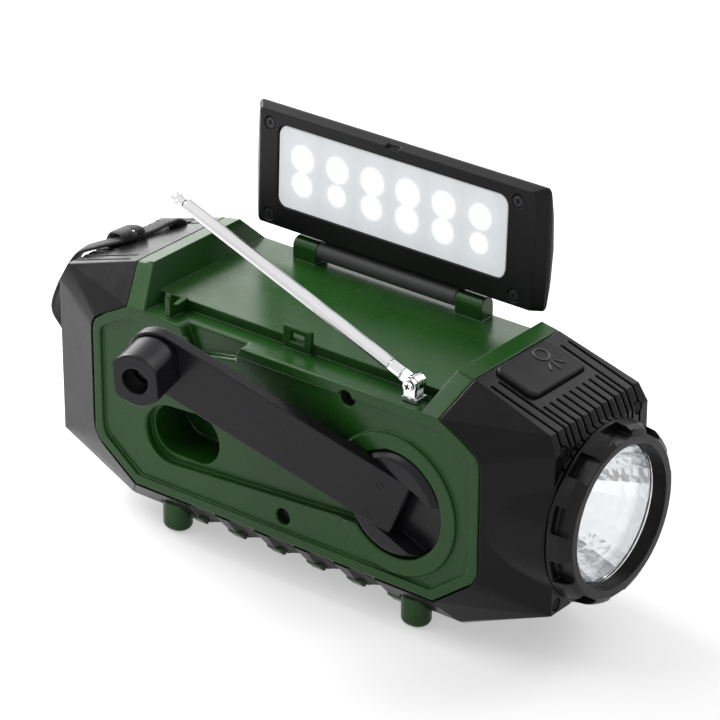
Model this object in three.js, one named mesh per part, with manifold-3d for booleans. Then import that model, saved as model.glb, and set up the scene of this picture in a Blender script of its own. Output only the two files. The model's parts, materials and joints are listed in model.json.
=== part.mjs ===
// Wind-up emergency radio with a fold-up lamp, a torch, a hand crank and a telescopic antenna.
// Millimetres. +Z is up, the crank face looks along -Y, the torch points along +X.
// The origin is on the floor, under the middle of the radio as it stands with its crank turned out.

import * as THREE from 'three';
import { ConvexGeometry } from 'three/addons/geometries/ConvexGeometry.js';
import { mergeVertices } from 'three/addons/utils/BufferGeometryUtils.js';
import Module from 'manifold-3d';

const wasm = await Module();
wasm.setup();

// Fits shared by every piece
const gap = 0.3;
const runFit = 0.25;
const overrun = 2;
const wall = 2.6;
const roundSteps = 48;
const midSteps = 24;
const smallSteps = 12;
const cornerSteps = 4;
const bulgeSteps = 4;
const fullRoundShare = 0.999;

// Case, measured from its middle and from the floor
const endX = 95.5;
const halfDepth = 31.4;
const faceHalf = 75;
const shoulderZ = 67.5;
const shoulderReach = 4;
const hipReach = 5;
const outlineSteps = 3;
const faceTopHalf = 60;
const faceTopZ = 75.7;
const hipZ = 27;
const faceLowHalf = 58.5;
const faceLowZ = 14.5;
const ridgeHalf = 64.7;
const ridgeY = 20.6;
const ridgeZ = 87;
const ridgeDrop = 1.1;
const endRidgeX = 92.8;
const endRidgeY = 22;
const endRidgeZ = 77.2;
const endFaceY = 23.1;
const endTopZ = 71.5;
const endLowZ = 19.3;
const keelHalf = 64.5;
const keelY = 25.6;
const keelZ = 7.4;
const bellyHalf = 62;
const bellyY = 21;
const bellyZ = 4;
const trayWall = 4.5;
const coverSeatY = 28.4;

// Recess for the lamp lid, and the ledge for the antenna in front of it
const deckZ = 79;
const deckFrontY = -21.3;
const recessTopHalf = 58.4;
const recessLowHalf = 53.3;

// Front panel
const rimWidth = 3.6;
const fieldDepth = 1.2;
const pocketX = -39.6;
const pocketZ = 36.9;
const pocketLength = 26;
const pocketHeight = 17;
const pocketFloorY = -13.6;
const pocketWall = 1.8;
const notchTopX = [-38.6, -14];
const notchLowX = [-34.5, -18.3];
const notchLowZ = [67.1, 70.2];
const notchY = -27.6;
const faceScrewPlaces = [[0.3, 22.6], [25.5, 71.2]];
const faceScrewHole = 2.7;
const faceScrewSink = 4.4;
const faceScrewHead = 1.4;

// Crank
const hubX = 43.4;
const hubZ = 42;
const hubRadius = 17.3;
const hubTopRadius = 15.4;
const hubFrontY = -32.4;
const hubBevelY = -30.4;
const hubBackY = -24.2;
const hubFloorY = -26.4;
const hubAxleRadius = 4;
const hubAxleEndY = -8.9;
const hubRingRadius = 23;
const hubCupWall = 2;
const armLean = 13;
const armSlope = 23;
const armWidth = 19.6;
const armThickness = 4.1;
const armTail = 2.6;
const armLength = 83.5;
const armPinY = -30.1;
const foldPinRadius = 0.9;
const foldPinLength = 28;
const stowSlope = 4;
const stowFloorY = -27.8;
const stowReach = 4.4;
const knobRadius = 8.8;
const knobFlat = 14.8;
const knobHeight = 12.4;
const knobHoleRadius = 4.4;
const knobHoleDepth = 9;
const knobScrewRadius = 1.9;
const knobScrewHeadRadius = 3.6;
const knobScrewHeadHeight = 1.4;

// Gear train and generator
const gearThickness = 3.6;
const toothHeight = 1.4;
const driveGearRadius = 19.2;
const driveGearY = -21.2;
const driveTeeth = 40;
const idlerPinionRadius = 5;
const idlerPinionTeeth = 10;
const idlerGearRadius = 14.8;
const idlerTeeth = 32;
const idlerBore = 1.8;
const rotorPinionRadius = 4;
const rotorPinionTeeth = 8;
const gearMeshGap = 0.3;
const plateY = -10.6;
const plateThickness = 2;
const plateLeftX = -12;
const plateRightX = 64;
const plateLowZ = 17;
const plateTopZ = 68;
const postRadius = 2.4;
const postInset = 4;
const rotorRadius = 11.6;
const rotorLength = 10;
const rotorShaftRadius = 1.1;
const statorRadius = 15.6;
const statorBore = 12.2;
const statorLength = 14.5;

// Antenna
const antennaX = 46.9;
const antennaY = -25.8;
const antennaZ = 81.2;
const antennaTilt = 20.4;
const collarRadius = 2.7;
const collarHeight = 1.2;
const knuckleRadius = 3.1;
const tongueThickness = 2.4;
const earThickness = 1.1;
const tubeStart = 9.4;
const tubeLength = 83;
const tubeRadii = [2.05, 1.5, 1];
const tubeBores = [1.76, 1.26, 0.82];
const spigotLength = 3.2;
const rodRadius = 0.58;
const neckRadius = 1.25;
const tipRadius = 1.85;
const tipPlace = 96.3;
const tipSteps = 6;
const antennaScrewRadius = 1.0;
const antennaScrewHead = 1.65;
const hookX = -45;
const hookThickness = 2;
const hookLip = 1.4;
const tabHalf = 5.3;
const tabTopZ = 83.2;
const tabThickness = 1.3;
const tabWindowHalf = 2.6;
const tabWindowZ = [78.2, 81];

// Lamp lid, in its own frame with the hinge axis at the origin and the lid upright
const lidHingeY = 25.1;
const lidHingeZ = 83;
const lidLean = 2.4;
const lidFaceHalf = 52.7;
const lidHalf = 55.8;
const lidBackHalf = 54.4;
const lidFaceY = -2.7;
const lidBackY = 3.2;
const lidLowZ = 3.9;
const lidTopZ = 43.6;
const lidFaceInset = 1.1;
const lidCorner = 1;
const lidSplitBulge = 0.5;
const lidBackBulge = 1.9;
const lidShift = -1.2;
const lidSlotX = [-21, -7];
const lidSlotDepth = 1;
const lidCatchX = [-3.4, 1.2];
const lidCatchDepth = 0.8;
const lidSkin = 1.5;
const diffuserHalf = 43.9;
const diffuserLowZ = 11.6;
const diffuserTopZ = 38.6;
const diffuserCorner = 3.4;
const diffuserThickness = 0.7;
const lampBoardThickness = 0.6;
const lampColumns = 6;
const lampRows = 2;
const lampPitchX = 14.1;
const lampPitchZ = 9.6;
const lampLensRadius = 1.9;
const lampLensHeight = 0.7;
const solarThickness = 0.7;
const solarMargin = 4.6;
const barrelRadius = 3;
const hingePinRadius = 1.1;
const knuckleLeftX = [-38.2, -29.2];
const knuckleRightX = [25, 35];
const hingePinCover = 1.2;
const lidScrewX = 47.4;
const lidScrewZ = [7.8, 38.1];
const lidScrewRadius = 1.8;

// Torch on the right end
const torchZ = 45.1;
const torchFrontX = 103.7;
const torchBackX = 96.3;
const torchFaceRadius = 25;
const torchRimRadius = 27.7;
const torchRimFall = 2.8;
const torchNeckRadius = 28.2;
const torchFlareX = 76;
const torchFlareRadius = 30.8;
const torchOpening = 22.4;
const torchLip = 22;
const torchBore = 23;
const torchLipX = 99.4;
const rimEdgeShare = 0.35;
const lensThickness = 1.2;
const reflectorDepth = 19;
const reflectorThroat = 4.4;
const reflectorWall = 1.1;
const notchCount = 10;
const notchDepth = 2.6;
const notchWidth = 8.4;
const notchLength = 6.2;
const ledRadius = 3.6;
const ledBoardRadius = 9;
const ledBoardThickness = 1.6;

// Rubber button and ribs on the right end's slope
const buttonSeamMargin = 0.7;
const buttonRibMargin = 3;
const buttonWidth = 26;
const buttonProud = 1.5;
const buttonDepth = 2.9;
const buttonCornerShare = 0.158;
const ribCount = 9;
const ribPitch = 3.2;
const ribWidth = 0.9;
const ribDepth = 0.8;
const ribStartX = 83.6;
const ribLowZ = 62;
const ribFootX = 90;
const ribFootZ = 26;
const sideRibY = [15.2, 18.9];
const sideRibX = 69.3;
const buttonLength = ribStartX - buttonRibMargin - ridgeHalf - buttonSeamMargin;
const buttonX = ridgeHalf + buttonSeamMargin + buttonLength / 2;
const buttonCorner = buttonCornerShare * buttonLength;
const capScrewRadius = 1.8;
const capScrewLength = 9;
const capScrewSink = 1.4;
const capScrewY = 18.2;
const capScrewLowY = 20.6;
const capScrewTopZ = 71;
const capScrewLowZ = 22.3;

// Underside
const footInsetX = 17.3;
const footInsetY = 1.3;
const footX = keelHalf - footInsetX;
const footY = keelY - footInsetY;
const footRadius = 4.2;
const footTopZ = 10.4;
const footCrown = 2.2;
const footLength = 1.3;
const gripCount = 6;
const gripLength = 5.2;
const gripWidth = 5;
const gripProud = 1.2;
const gripShare = 0.8;
const gripBarShares = [0.33, 0.8];
const gripFootMargin = 0.6;
const gripReach = footX - footLength / 2 - footRadius - gripFootMargin - gripLength / 2;
const gripPitch = 2 * gripReach / (gripCount - 1);
const scallopRadius = 8.5;
const scallopDepth = 1.9;

// Rear cover and its controls
const speakerX = -42;
const speakerZ = 44;
const speakerRadius = 19;
const speakerDepth = 14;
const magnetRadius = 9.5;
const magnetDepth = 5;
const slotCount = 7;
const slotPitch = 4.6;
const slotWidth = 2.2;
const slotHalfHeight = 15;
const dialX = 32;
const dialZ = 61;
const dialHalf = 27;
const dialHeight = 10;
const dialThickness = 1.2;
const pointerWidth = 1.4;
const pointerTravel = 44;
const tuningKnobX = 18;
const volumeKnobX = 48;
const rearKnobZ = 42;
const rearKnobRadius = 8;
const rearKnobProud = 4;
const rearKnobFlutes = 18;
const rearKnobShaft = 1.6;
const switchX = 33;
const switchZ = 25;
const switchTravel = 5;
const switchLength = 6;
const switchHeight = 3.4;
const switchProud = 1.2;
const flapX = 54;
const flapZ = 25;
const flapHalf = 9;
const flapHeight = 8;
const flapThickness = 1.4;
const flapHingeRadius = 0.7;
const boardLeftX = -16;
const boardRightX = 66;
const boardHipX = 55;
const boardLowZ = 20;
const boardHipZ = 33;
const boardTopZ = 72;
const boardY = 20.4;
const boardThickness = 1.6;
const boardBossRadius = 2;

// Battery
const cellRadius = 7.1;
const cellLength = 50;
const cellY = 9.5;
const cellX = -2;
const cellZ = 18.6;
const holderWall = 2;

// Wrist strap on the left end
const strapWidth = 8;
const strapThickness = 1.4;
const strapSteps = 72;
const strapRoute = [
  [-78.4, 15.6, 77.5, 0, 1, 0], [-79.8, 15.3, 81.6, -0.15, 0.8, 0.6], [-81.6, 12.4, 82.5, -0.28, 0.1, 0.95],
  [-83.5, 7.6, 81.3, -0.3, 0, 0.95], [-86.4, 0.8, 80.4, -0.3, 0, 0.95], [-89.6, -6.8, 79.5, -0.3, 0, 0.95],
  [-92.6, -12.8, 79, -0.35, -0.1, 0.93], [-96.6, -17, 77.4, -0.6, -0.45, 0.6],
  [-100.4, -19.4, 72.8, -0.5, -0.8, 0.25], [-104.8, -17.6, 67.6, -0.5, -0.85, 0.1],
  [-109, -12, 60.5, -0.75, -0.65, 0.05], [-111.6, -3, 50, -0.95, -0.25, 0], [-111.4, 5.5, 36, -1, 0, 0],
  [-110, 12.5, 21, -0.95, 0, -0.25], [-108, 20.5, 8.4, -0.7, -0.1, -0.7], [-105.6, 30, 2, -0.2, 0, -0.98],
  [-102.6, 38, 1.1, 0, 0, -1], [-98, 41.6, 1.1, 0, 0, -1], [-94.6, 37, 1.1, 0, 0, -1],
  [-95.4, 28.6, 2.4, 0.25, 0.1, -0.95], [-97.6, 21, 9.4, 0.75, 0.1, -0.6], [-98.6, 15, 24, 1, 0, -0.1],
  [-98.4, 10, 44, 1, 0, 0], [-98, 6.4, 62, 0.98, 0, -0.1], [-97, 4.2, 73.4, 0.9, 0, -0.4],
  [-93.4, 2.6, 79.6, 0.45, 0, -0.9], [-88.6, 0.6, 81.9, 0.3, 0, -0.95],
];
const knotPlace = [-87.2, 0.2, 82.3];
const knotHalf = [4.4, 3.8, 1.6];
const slotLength = 10;
const slotAcross = 4.4;

// Helpers that turn three.js geometry into solids and back
function solid(geometry) {
  const bare = new THREE.BufferGeometry();
  bare.setAttribute('position', geometry.getAttribute('position').clone());
  if (geometry.index) {
    bare.setIndex(geometry.index.clone());
  }
  const merged = mergeVertices(bare, 1e-4);
  const vertProperties = Float32Array.from(merged.getAttribute('position').array);
  const corner = (i) => new THREE.Vector3().fromArray(vertProperties, 3 * i);
  const triangles = [];
  let volume = 0;
  const index = merged.index.array;
  for (let i = 0; i < index.length; i += 3) {
    const [a, b, c] = [index[i], index[i + 1], index[i + 2]];
    if (a !== b && b !== c && c !== a) {
      triangles.push([a, b, c]);
      volume += corner(a).dot(corner(b).cross(corner(c)));
    }
  }
  const triVerts = Uint32Array.from(triangles.flatMap((t) => (volume < 0 ? [t[0], t[2], t[1]] : t)));
  return new wasm.Manifold(new wasm.Mesh({ numProp: 3, vertProperties, triVerts }));
}

function surface(manifold) {
  const mesh = manifold.getMesh();
  const geometry = new THREE.BufferGeometry();
  geometry.setAttribute('position', new THREE.BufferAttribute(Float32Array.from(mesh.vertProperties), 3));
  geometry.setIndex(new THREE.BufferAttribute(Uint32Array.from(mesh.triVerts), 1));
  geometry.computeVertexNormals();
  return geometry;
}

const union = (...solids) => solids.reduce((a, b) => a.add(b));
const cut = (base, ...tools) => tools.reduce((a, b) => a.subtract(b), base);
const radians = THREE.MathUtils.degToRad;

function turned(geometry, axis, degrees) {
  return geometry.applyMatrix4(new THREE.Matrix4().makeRotationAxis(axis, radians(degrees)));
}

function box(x0, x1, y0, y1, z0, z1) {
  const geometry = new THREE.BoxGeometry(x1 - x0, y1 - y0, z1 - z0);
  return geometry.translate((x0 + x1) / 2, (y0 + y1) / 2, (z0 + z1) / 2);
}

function shapeOf(points) {
  return new THREE.Shape(points.map(([x, y]) => new THREE.Vector2(x, y)));
}

function extruded(shape, depth, curveSegments = cornerSteps) {
  return new THREE.ExtrudeGeometry(shape, { depth, bevelEnabled: false, curveSegments });
}

// An outline in X and Z, drawn as the front view shows it and carried from y0 to y1
function alongY(shape, y0, y1, curveSegments) {
  return extruded(shape, y1 - y0, curveSegments).rotateX(Math.PI / 2).translate(0, y1, 0);
}

// An outline in Y and Z carried from x0 to x1
function alongX(shape, x0, x1, curveSegments) {
  const turn = new THREE.Matrix4().makeBasis(
    new THREE.Vector3(0, 1, 0),
    new THREE.Vector3(0, 0, 1),
    new THREE.Vector3(1, 0, 0),
  );
  return extruded(shape, x1 - x0, curveSegments).applyMatrix4(turn).translate(x0, 0, 0);
}

function roundedShape(x0, x1, z0, z1, r) {
  const shape = new THREE.Shape();
  shape.moveTo(x0 + r, z0);
  shape.lineTo(x1 - r, z0);
  shape.absarc(x1 - r, z0 + r, r, -Math.PI / 2, 0);
  shape.lineTo(x1, z1 - r);
  shape.absarc(x1 - r, z1 - r, r, 0, Math.PI / 2);
  shape.lineTo(x0 + r, z1);
  shape.absarc(x0 + r, z1 - r, r, Math.PI / 2, Math.PI);
  shape.lineTo(x0, z0 + r);
  shape.absarc(x0 + r, z0 + r, r, Math.PI, 1.5 * Math.PI);
  return shape;
}

// A body of revolution: pairs of radius and height along the axis
function lathe(profile, steps = midSteps) {
  return new THREE.LatheGeometry(profile.map(([r, h]) => new THREE.Vector2(r, h)), steps);
}

const latheZ = (profile, steps) => lathe(profile, steps).rotateX(Math.PI / 2);
const latheX = (profile, steps) => lathe(profile, steps).rotateZ(-Math.PI / 2);

function rod(r, h0, h1) {
  return [[0, h0], [r, h0], [r, h1], [0, h1]];
}

function ring(bore, r, h0, h1) {
  return [[bore, h0], [r, h0], [r, h1], [bore, h1], [bore, h0]];
}

// A closed outline moved outwards by d, or inwards where d is negative
function offset(points, d) {
  const area = points.reduce((sum, [x, y], i) => {
    const [u, v] = points[(i + 1) % points.length];
    return sum + x * v - u * y;
  }, 0);
  const side = Math.sign(area);
  const n = points.length;
  const normal = (a, b) => {
    const length = Math.hypot(b[0] - a[0], b[1] - a[1]);
    return [side * (b[1] - a[1]) / length, -side * (b[0] - a[0]) / length];
  };
  return points.map((p, i) => {
    const before = normal(points[(i + n - 1) % n], p);
    const after = normal(p, points[(i + 1) % n]);
    const scale = d / (1 + before[0] * after[0] + before[1] * after[1]);
    return [p[0] + scale * (before[0] + after[0]), p[1] + scale * (before[1] + after[1])];
  });
}

const mirrored = (half) => [...half, ...half.map(([x, z]) => [-x, z]).reverse()];

// A corner between two straight runs, rounded over a reach along each of them
function roundedCorner(before, corner, after, reach) {
  const at = new THREE.Vector2(...corner);
  const towards = (point) => at.clone().add(new THREE.Vector2(...point).sub(at).setLength(reach));
  const arc = new THREE.QuadraticBezierCurve(towards(before), at, towards(after));
  return arc.getPoints(outlineSteps).map((point) => [point.x, point.y]);
}

// Half of the front face in the front view, from its low corner to its top one, with hip and shoulder rounded
const faceLowCorner = [faceLowHalf, faceLowZ];
const hipCorner = [faceHalf, hipZ];
const shoulderCorner = [faceHalf, shoulderZ];
const faceTopCorner = [faceTopHalf, faceTopZ];
const faceCorners = [
  faceLowCorner,
  ...roundedCorner(faceLowCorner, hipCorner, shoulderCorner, hipReach),
  ...roundedCorner(hipCorner, shoulderCorner, faceTopCorner, shoulderReach),
  faceTopCorner,
];

// The case's outer form, and the same form drawn in by an inset
function envelope(inset) {
  const t = inset;
  const face = faceCorners.map(([x, z]) => [x - t, halfDepth - t, z + Math.sign(hubZ - z) * t / 2]);
  const quarter = [
    ...face,
    [recessTopHalf, ridgeY - t / 2, ridgeZ - t],
    [ridgeHalf - t / 2, ridgeY - t / 2, ridgeZ - ridgeDrop - t],
    [endRidgeX - t, endRidgeY - t, endRidgeZ - t],
    [endX - t, endFaceY - t, endTopZ - t / 2],
    [endX - t, endFaceY - t, endLowZ + t / 2],
    [keelHalf - t, keelY - t, keelZ + t],
    [bellyHalf - t, bellyY - t / 2, bellyZ + t],
  ];
  const corners = quarter.flatMap(([x, y, z]) => [[x, y, z], [-x, y, z], [x, -y, z], [-x, -y, z]]);
  return solid(new ConvexGeometry(corners.map((p) => new THREE.Vector3(...p))));
}

// Where the green case meets the black ends and the black tray, in the front view
const greenOutline = mirrored([
  ...faceCorners,
  [ridgeHalf, ridgeZ - ridgeDrop],
  [ridgeHalf, ridgeZ + 2 * overrun],
]);
const trayOutline = mirrored([
  [keelHalf + (keelHalf - faceLowHalf) * (keelZ - bellyZ + overrun) / (faceLowZ - keelZ), bellyZ - overrun],
  [faceLowHalf, faceLowZ],
]);

function caseBlock(points, d) {
  return solid(alongY(shapeOf(offset(points, d)), -halfDepth - overrun, halfDepth + overrun));
}

// The lid recess and antenna ledge, with the metal line grown by the wall for the hollow under them
function recess(grow) {
  const slope = (recessTopHalf - recessLowHalf) / (ridgeZ - faceTopZ);
  const halfAt = (z) => recessLowHalf + slope * (z - faceTopZ) + grow;
  const trough = (z) => mirrored([[halfAt(z), z], [halfAt(ridgeZ + overrun), ridgeZ + overrun]]);
  const ledge = alongY(shapeOf(trough(faceTopZ - grow)), -halfDepth - overrun, deckFrontY + grow);
  const deck = alongY(shapeOf(trough(deckZ - grow)), deckFrontY, halfDepth + overrun);
  return union(solid(ledge), solid(deck));
}

const outer = envelope(0);
const inner = envelope(wall);

function hubLathe(profile, steps = roundSteps) {
  return solid(lathe(profile, steps).translate(hubX, 0, hubZ));
}

// Slot that the arm lies in when it is folded away, drawn from the hub towards the pocket
function stowShape(extra) {
  const half = armWidth / 2 + extra;
  const shape = new THREE.Shape();
  shape.moveTo(0, half);
  shape.lineTo(-armLength - stowReach, half);
  shape.absarc(-armLength - stowReach, 0, half, Math.PI / 2, 1.5 * Math.PI);
  shape.lineTo(0, -half);
  return shape;
}

function stowCut(extra, y0, y1) {
  const slot = turned(alongY(stowShape(extra), y0, y1, smallSteps), new THREE.Vector3(0, 1, 0), -stowSlope);
  return solid(slot.translate(hubX, 0, hubZ));
}

function pocketCut(extra, y0, y1) {
  const x = pocketLength / 2 + extra;
  const z = pocketHeight / 2 + extra;
  const shape = roundedShape(pocketX - x, pocketX + x, pocketZ - z, pocketZ + z, z * fullRoundShare);
  return solid(alongY(shape, y0, y1, smallSteps));
}

function faceScrewCut(radius, y0, y1) {
  return union(...faceScrewPlaces.map(([x, z]) => solid(lathe(rod(radius, y0, y1), smallSteps).translate(x, 0, z))));
}

// Main case: the green front panel with the top, the deck and the ribs on both sides of the lid
function mainCase() {
  const shell = cut(outer, recess(0)).subtract(cut(inner, recess(wall)));
  const green = shell.intersect(caseBlock(greenOutline, -gap / 2));
  const frontPart = cut(green, solid(box(-endX, endX, coverSeatY, halfDepth + overrun, 0, ridgeZ + overrun)));
  const innerY = -halfDepth + wall;
  const fieldY = -halfDepth + fieldDepth;
  const field = offset(greenOutline.filter(([, z]) => z <= faceTopZ), -rimWidth);
  const hollows = union(
    solid(alongY(shapeOf(field), -halfDepth - overrun, fieldY)),
    stowCut(gap, -halfDepth - overrun, stowFloorY),
  );
  const backing = union(
    stowCut(2 * wall / 2, innerY - wall / 2, stowFloorY + pocketWall),
    pocketCut(pocketWall, innerY - wall / 2, pocketFloorY + pocketWall),
  ).intersect(caseBlock(greenOutline, -wall));
  const notchBacking = solid(box(
    notchTopX[0] - wall, notchTopX[1] + wall, innerY - wall / 2, notchY + wall, notchLowZ[0] - wall, faceTopZ - wall / 2,
  ));
  const hubBoss = hubLathe(ring(hubRadius + runFit, hubRingRadius, -halfDepth, innerY + gap));
  const hubCup = union(
    hubLathe(ring(hubRadius + runFit, hubRadius + runFit + hubCupWall, -halfDepth, hubBackY + gap + hubCupWall)),
    hubLathe(ring(hubAxleRadius + runFit, hubRadius + hubCupWall, hubBackY + gap, hubBackY + gap + hubCupWall)),
  );
  const hubBore = hubLathe(rod(hubRadius + runFit, -halfDepth - overrun, hubBackY + gap));
  const notch = shapeOf([
    [notchTopX[0], faceTopZ + overrun / 4], [notchLowX[0], notchLowZ[0]],
    [notchLowX[1], notchLowZ[1]], [notchTopX[1], faceTopZ + overrun / 4],
  ]);
  const screwBoss = faceScrewCut(faceScrewHole + wall / 2, fieldY, fieldY + faceScrewSink + wall);
  const knuckles = [knuckleLeftX, knuckleRightX].map(([x0, x1]) => {
    const post = box(x0, x1, lidHingeY - barrelRadius, lidHingeY + barrelRadius, deckZ - wall / 2, lidHingeZ);
    const round = latheX(rod(barrelRadius, x0, x1), midSteps).translate(0, lidHingeY, lidHingeZ);
    return union(solid(post), solid(round));
  });
  const pinHole = latheX(
    rod(hingePinRadius + gap / 2, knuckleLeftX[0] - overrun, knuckleRightX[1] - hingePinCover), smallSteps,
  );
  const hookHold = tubeRadii[0] + gap;
  const hook = alongX(shapeOf([
    [antennaY - hookHold - hookLip, faceTopZ - wall / 2],
    [antennaY - hookHold - hookLip, antennaZ + hookHold / 3],
    [antennaY - hookHold - hookLip / 2, antennaZ + hookHold],
    [antennaY - hookHold, antennaZ + hookHold / 5],
    [antennaY - hookHold * Math.SQRT1_2, antennaZ - hookHold * Math.SQRT1_2],
    [antennaY, antennaZ - hookHold],
    [deckFrontY + gap, antennaZ - tubeRadii[1]],
    [deckFrontY + gap, faceTopZ - wall / 2],
  ]), hookX - hookThickness / 2, hookX + hookThickness / 2);
  const tab = cut(
    solid(box(-tabHalf, tabHalf, deckFrontY - tabThickness, deckFrontY + gap, faceTopZ - wall / 2, tabTopZ)),
    solid(box(
      -tabWindowHalf, tabWindowHalf, deckFrontY - overrun, deckFrontY + overrun / 4, tabWindowZ[0], tabWindowZ[1],
    )),
  );
  const swivelHole = latheZ(rod(tubeRadii[0] + runFit, -overrun, 2 * wall), smallSteps);
  return cut(
    union(
      cut(union(cut(frontPart, hollows), backing, notchBacking), stowCut(gap, -halfDepth - overrun, stowFloorY)),
      cut(union(hubBoss, hubCup), stowCut(gap, -halfDepth - overrun, stowFloorY)
        .subtract(hubLathe(rod(hubRadius, -halfDepth - overrun, 0)))),
      screwBoss, ...knuckles, solid(hook), tab,
    ),
    hubBore,
    pocketCut(0, -halfDepth - overrun, pocketFloorY),
    solid(alongY(notch, -halfDepth - overrun, notchY)),
    faceScrewCut(faceScrewHole, -halfDepth - overrun, fieldY + faceScrewSink),
    faceScrewCut(faceScrewHole / 2 + gap, -halfDepth, fieldY + faceScrewSink + 2 * wall),
    solid(pinHole.translate(0, lidHingeY, lidHingeZ)),
    solid(swivelHole.translate(antennaX, antennaY, faceTopZ - wall - overrun / 2)),
  );
}

// Rear cover with the speaker slots, the dial opening and the openings for the controls
function rearCover() {
  const shell = cut(outer, recess(0)).subtract(cut(inner, recess(wall)));
  const plate = shell.intersect(caseBlock(greenOutline, -gap / 2))
    .intersect(solid(box(-endX, endX, coverSeatY + gap, halfDepth + overrun, 0, ridgeZ + overrun)));
  const y0 = halfDepth - wall - overrun;
  const y1 = halfDepth + overrun;
  const slots = [];
  for (let i = 0; i < slotCount; i += 1) {
    const x = speakerX + (i - (slotCount - 1) / 2) * slotPitch;
    const half = Math.sqrt(speakerRadius ** 2 - (x - speakerX) ** 2) * slotHalfHeight / speakerRadius;
    const shape = roundedShape(
      x - slotWidth / 2, x + slotWidth / 2, speakerZ - half, speakerZ + half, slotWidth * 0.49,
    );
    slots.push(solid(alongY(shape, y0, y1, 4)));
  }
  const bosses = [boardLeftX + postInset, boardRightX - postInset].flatMap((x) => (
    [boardHipZ + postInset, boardTopZ - postInset].map((z) => {
      const profile = rod(boardBossRadius, boardY + boardThickness + gap, halfDepth - wall / 2);
      return solid(lathe(profile, smallSteps).translate(x, 0, z));
    })
  ));
  const shafts = [tuningKnobX, volumeKnobX].map((x) => (
    solid(lathe(rod(rearKnobShaft + runFit, y0, y1), smallSteps).translate(x, 0, rearKnobZ))
  ));
  const dial = union(
    solid(box(
      dialX - dialHalf, dialX + dialHalf, halfDepth - dialThickness - gap, y1,
      dialZ - dialHeight / 2, dialZ + dialHeight / 2,
    )),
    solid(box(
      dialX - dialHalf + wall, dialX + dialHalf - wall, y0, y1,
      dialZ - dialHeight / 2 + wall / 2, dialZ + dialHeight / 2 - wall / 2,
    )),
  );
  const switchSlot = box(
    switchX - switchLength / 2 - switchTravel / 2 - runFit, switchX + switchLength / 2 + switchTravel / 2 + runFit,
    y0, y1, switchZ - switchHeight / 2 - runFit, switchZ + switchHeight / 2 + runFit,
  );
  const flapSeat = union(
    solid(box(
      flapX - flapHalf - gap, flapX + flapHalf + gap, halfDepth - flapThickness - gap, y1,
      flapZ - flapHeight / 2 - flapHingeRadius, flapZ + flapHeight / 2 + gap,
    )),
    solid(box(
      flapX - flapHalf + wall, flapX + flapHalf - wall, y0, y1,
      flapZ - flapHeight / 2 + wall / 2, flapZ + flapHeight / 2 - wall / 2,
    )),
  );
  return cut(union(plate, ...bosses), ...slots, ...shafts, dial, solid(switchSlot), flapSeat);
}

function scallops() {
  const run = Math.hypot(halfDepth - bellyY, faceLowZ - bellyZ);
  const lean = Math.atan2(faceLowZ - bellyZ, halfDepth - bellyY);
  const cutters = [];
  for (let i = 1; i < gripCount; i += 1) {
    const x = (i - gripCount / 2) * gripPitch;
    const groove = lathe(rod(scallopRadius, -run, run), midSteps).rotateX(-lean);
    const away = scallopRadius - scallopDepth;
    groove.translate(x, -(halfDepth + bellyY) / 2 - away * Math.sin(lean), (faceLowZ + bellyZ) / 2 - away * Math.cos(lean));
    cutters.push(solid(groove));
  }
  return union(...cutters);
}

// Sets a geometry square to the tray's front slope, at a share of the way down it
function onUnderSlope(geometry, share) {
  geometry.rotateX(-Math.atan2(faceLowZ - bellyZ, halfDepth - bellyY));
  return geometry.translate(0, (halfDepth - bellyY) * share - halfDepth, faceLowZ - (faceLowZ - bellyZ) * share);
}

// Tongues that show between the scallops, near the foot of the slope
function gripTongues(extra) {
  const tongues = [];
  for (let i = 0; i < gripCount; i += 1) {
    const x = (i - (gripCount - 1) / 2) * gripPitch;
    const half = gripLength / 2 + extra;
    const block = box(
      x - half, x + half, -gripWidth / 2 - extra, gripWidth / 2 + extra, -gripProud, trayWall + 2 * gap,
    );
    tongues.push(solid(onUnderSlope(block, gripShare)));
  }
  return union(...tongues);
}

const footPlaces = [[-1, -1], [1, -1], [-1, 1], [1, 1]].map(([sx, sy]) => [sx * footX, sy * footY]);

function footCuts(extra) {
  return union(...footPlaces.map(([x, y]) => {
    const shape = roundedShape(-footLength / 2 - footRadius - extra, footLength / 2 + footRadius + extra,
      -footRadius - extra, footRadius + extra, (footRadius + extra) * fullRoundShare);
    return solid(extruded(shape, footTopZ + extra + overrun, cornerSteps + cornerSteps / 2).translate(x, y, -overrun));
  }));
}

// Black tray under the case
function bottomTray() {
  const shell = cut(outer, envelope(trayWall));
  const below = box(-endX, endX, -halfDepth - overrun, halfDepth + overrun, 0, faceLowZ - gap / 2);
  return cut(
    shell.intersect(caseBlock(trayOutline, -gap / 2)).intersect(solid(below)),
    scallops(), gripTongues(gap), footCuts(gap),
  );
}

// Green strip behind the tray's front slope, with the tongues that come through it
function gripStrip() {
  const half = gripReach + gripLength / 2;
  const slope = Math.hypot(halfDepth - bellyY, faceLowZ - bellyZ);
  const width = (gripBarShares[1] - gripBarShares[0]) * slope;
  const bar = box(-half, half, -width / 2, width / 2, trayWall + gap, trayWall + 2 * gap + wall / 2);
  return union(gripTongues(0), solid(onUnderSlope(bar, (gripBarShares[0] + gripBarShares[1]) / 2)));
}

const slopeAngle = THREE.MathUtils.radToDeg(
  Math.atan2(ridgeZ - ridgeDrop - endRidgeZ, endRidgeX - ridgeHalf),
);
const slopeZ = (x) => ridgeZ - ridgeDrop - (x - ridgeHalf) * Math.tan(radians(slopeAngle));

// A solid given in the frame of an end's top slope, with its own x along the fall of the slope
function onSlope(geometry, x, side = 1) {
  geometry.rotateY(radians(slopeAngle));
  if (side < 0) {
    geometry.rotateZ(Math.PI);
  }
  return geometry.translate(side * x, 0, slopeZ(x));
}

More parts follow.
